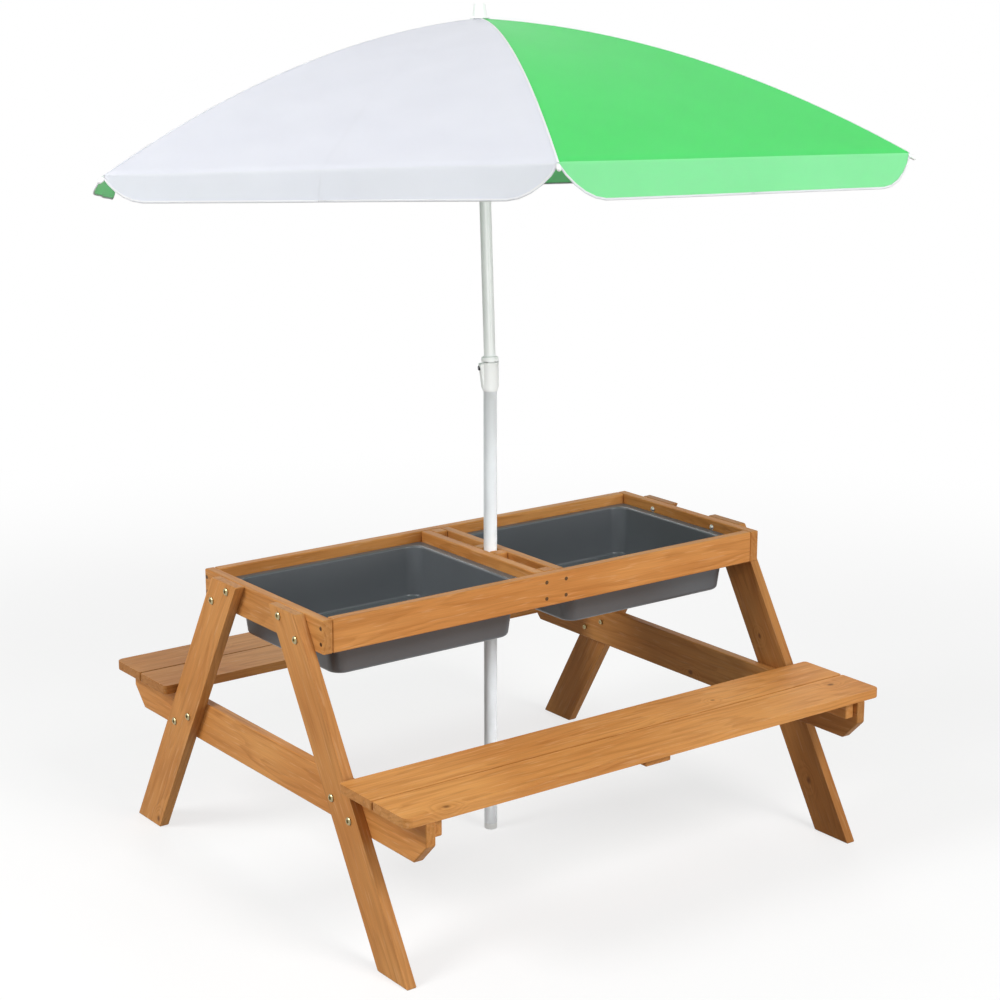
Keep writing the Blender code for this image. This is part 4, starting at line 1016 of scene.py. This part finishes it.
for number in range(1, 7):
    tip = turned(f"rib_cap_{number}", [(r * MM, z * MM) for r, z in CAP], steps=20)
    end = Matrix.Translation(RIB_END) @ Matrix.Rotation(pi / 2 + END_SLOPE, 4, "Y")
    tip.data.transform(hub @ Matrix.Rotation(rib_turn(number - 1), 4, "Z") @ end)
    tip.data.materials.append(white_plastic)
    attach(tip, f"rib_{number}")
print("painted CAD nodes:", sum(not o.hide_render for o in nodes.values()))

# %% [markdown]
# ## Studio
#
# The photograph is a cut-out on white, lit softly from the camera's side. A pale floor catches a
# light shadow, a white world lights everything evenly, and four large lamps model the forms. The
# camera sees the world as plain white. The floor is partly white by itself to the camera, so its
# shadow stays as faint as the photographed one, without more light on the table.

# %% Floor, world and lamps


def in_view(tree):
    """1 for what the camera sees, also in a reflection or through glass, and 0 for the light it gives."""
    path = add(tree, "ShaderNodeLightPath").outputs
    seen = calc(tree, "MAXIMUM", path["Is Camera Ray"], path["Is Glossy Ray"])
    return calc(tree, "MAXIMUM", seen, path["Is Transmission Ray"])


floor_look, tree, shader = finish_tree("studio_floor")
seen = in_view(tree)
at = add(tree, "ShaderNodeTexCoord").outputs["Object"]
far = add(tree, "ShaderNodeVectorMath", {0: at}, operation="LENGTH").outputs["Value"]
plain = ramp(tree, far, 1.0, 3.0, 0.7, 1.0, curve="SMOOTHSTEP")
share = calc(tree, "MULTIPLY", seen, plain)
tone = mixed(tree, seen, linear("9D9C99"), linear("FFFFFF"))
feed(tree, shader, {"Base Color": tone, "Roughness": 0.9})
white = add(tree, "ShaderNodeEmission", {"Color": (1, 1, 1, 1), "Strength": 1.0}).outputs[0]
both = add(tree, "ShaderNodeMixShader", {0: share, 1: shader.outputs[0], 2: white}).outputs[0]
tree.links.new(both, tree.nodes["Material Output"].inputs["Surface"])
shape = bmesh.new()
bmesh.ops.create_circle(shape, cap_ends=True, segments=64, radius=14)
floor_mesh = bpy.data.meshes.new("studio_floor")
shape.to_mesh(floor_mesh)
shape.free()
floor_mesh.materials.append(floor_look)
floor = place(bpy.data.objects.new("studio_floor", floor_mesh))
floor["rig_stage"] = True

world = bpy.data.worlds.new("studio")
bpy.context.scene.world = world
world.use_nodes = True
tree = world.node_tree
seen = in_view(tree)
up = add(tree, "ShaderNodeSeparateXYZ", {0: add(tree, "ShaderNodeTexCoord").outputs["Generated"]}).outputs["Z"]
walls = ramp(tree, up, 0, 1, 0.36, 0.16)
level = add(tree, "ShaderNodeMix", {0: seen, 2: walls, 3: 1.0}).outputs[0]
feed(tree, tree.nodes["Background"], {"Color": (1, 1, 1, 1), "Strength": level})


def lamp(name, spot, power, size):
    data = bpy.data.lights.new(name, "AREA")
    data.shape = "DISK"
    data.size = size
    data.energy = power
    made = place(bpy.data.objects.new(name, data))
    made.location = spot
    made.rotation_euler = (Vector((0, 0, 0.6)) - Vector(spot)).to_track_quat("-Z", "Y").to_euler()
    return made


lamp("left_lamp", (-3.6, 0.4, 2.9), 106, 1.8)
lamp("front_lamp", (0.3, -4.3, 4.0), 158, 2.0)
lamp("low_lamp", (1.4, -5.0, 0.9), 62, 1.6)
lamp("back_lamp", (2.6, 4.2, 3.4), 36, 2.0)
# The canopy shades the pole. Three lamps, flagged off all the rest, give it the photographed brightness.
for power, pieces in ((74, ("upper_pole_tube", "tilt_knuckle_moulded")), (58, ("tilt_housing_moulded",)),
                      (3.5, ("lower_pole_tube",))):
    fill = lamp(f"{pieces[0]}_fill", (-2.4, -3.6, 1.0), power, 1.6)
    reach = bpy.data.collections.new(f"{pieces[0]}_reach")
    for name in pieces:
        reach.objects.link(bpy.data.objects[name])
    fill.light_linking.receiver_collection = reach
bpy.context.scene.view_settings.view_transform = "Standard"

# %% Sizes and finish
visual_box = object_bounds()
for name, box in (("CAD box", cad_box), ("visual box", visual_box)):
    print(name, [[round(x, 4) for x in c] for c in box])
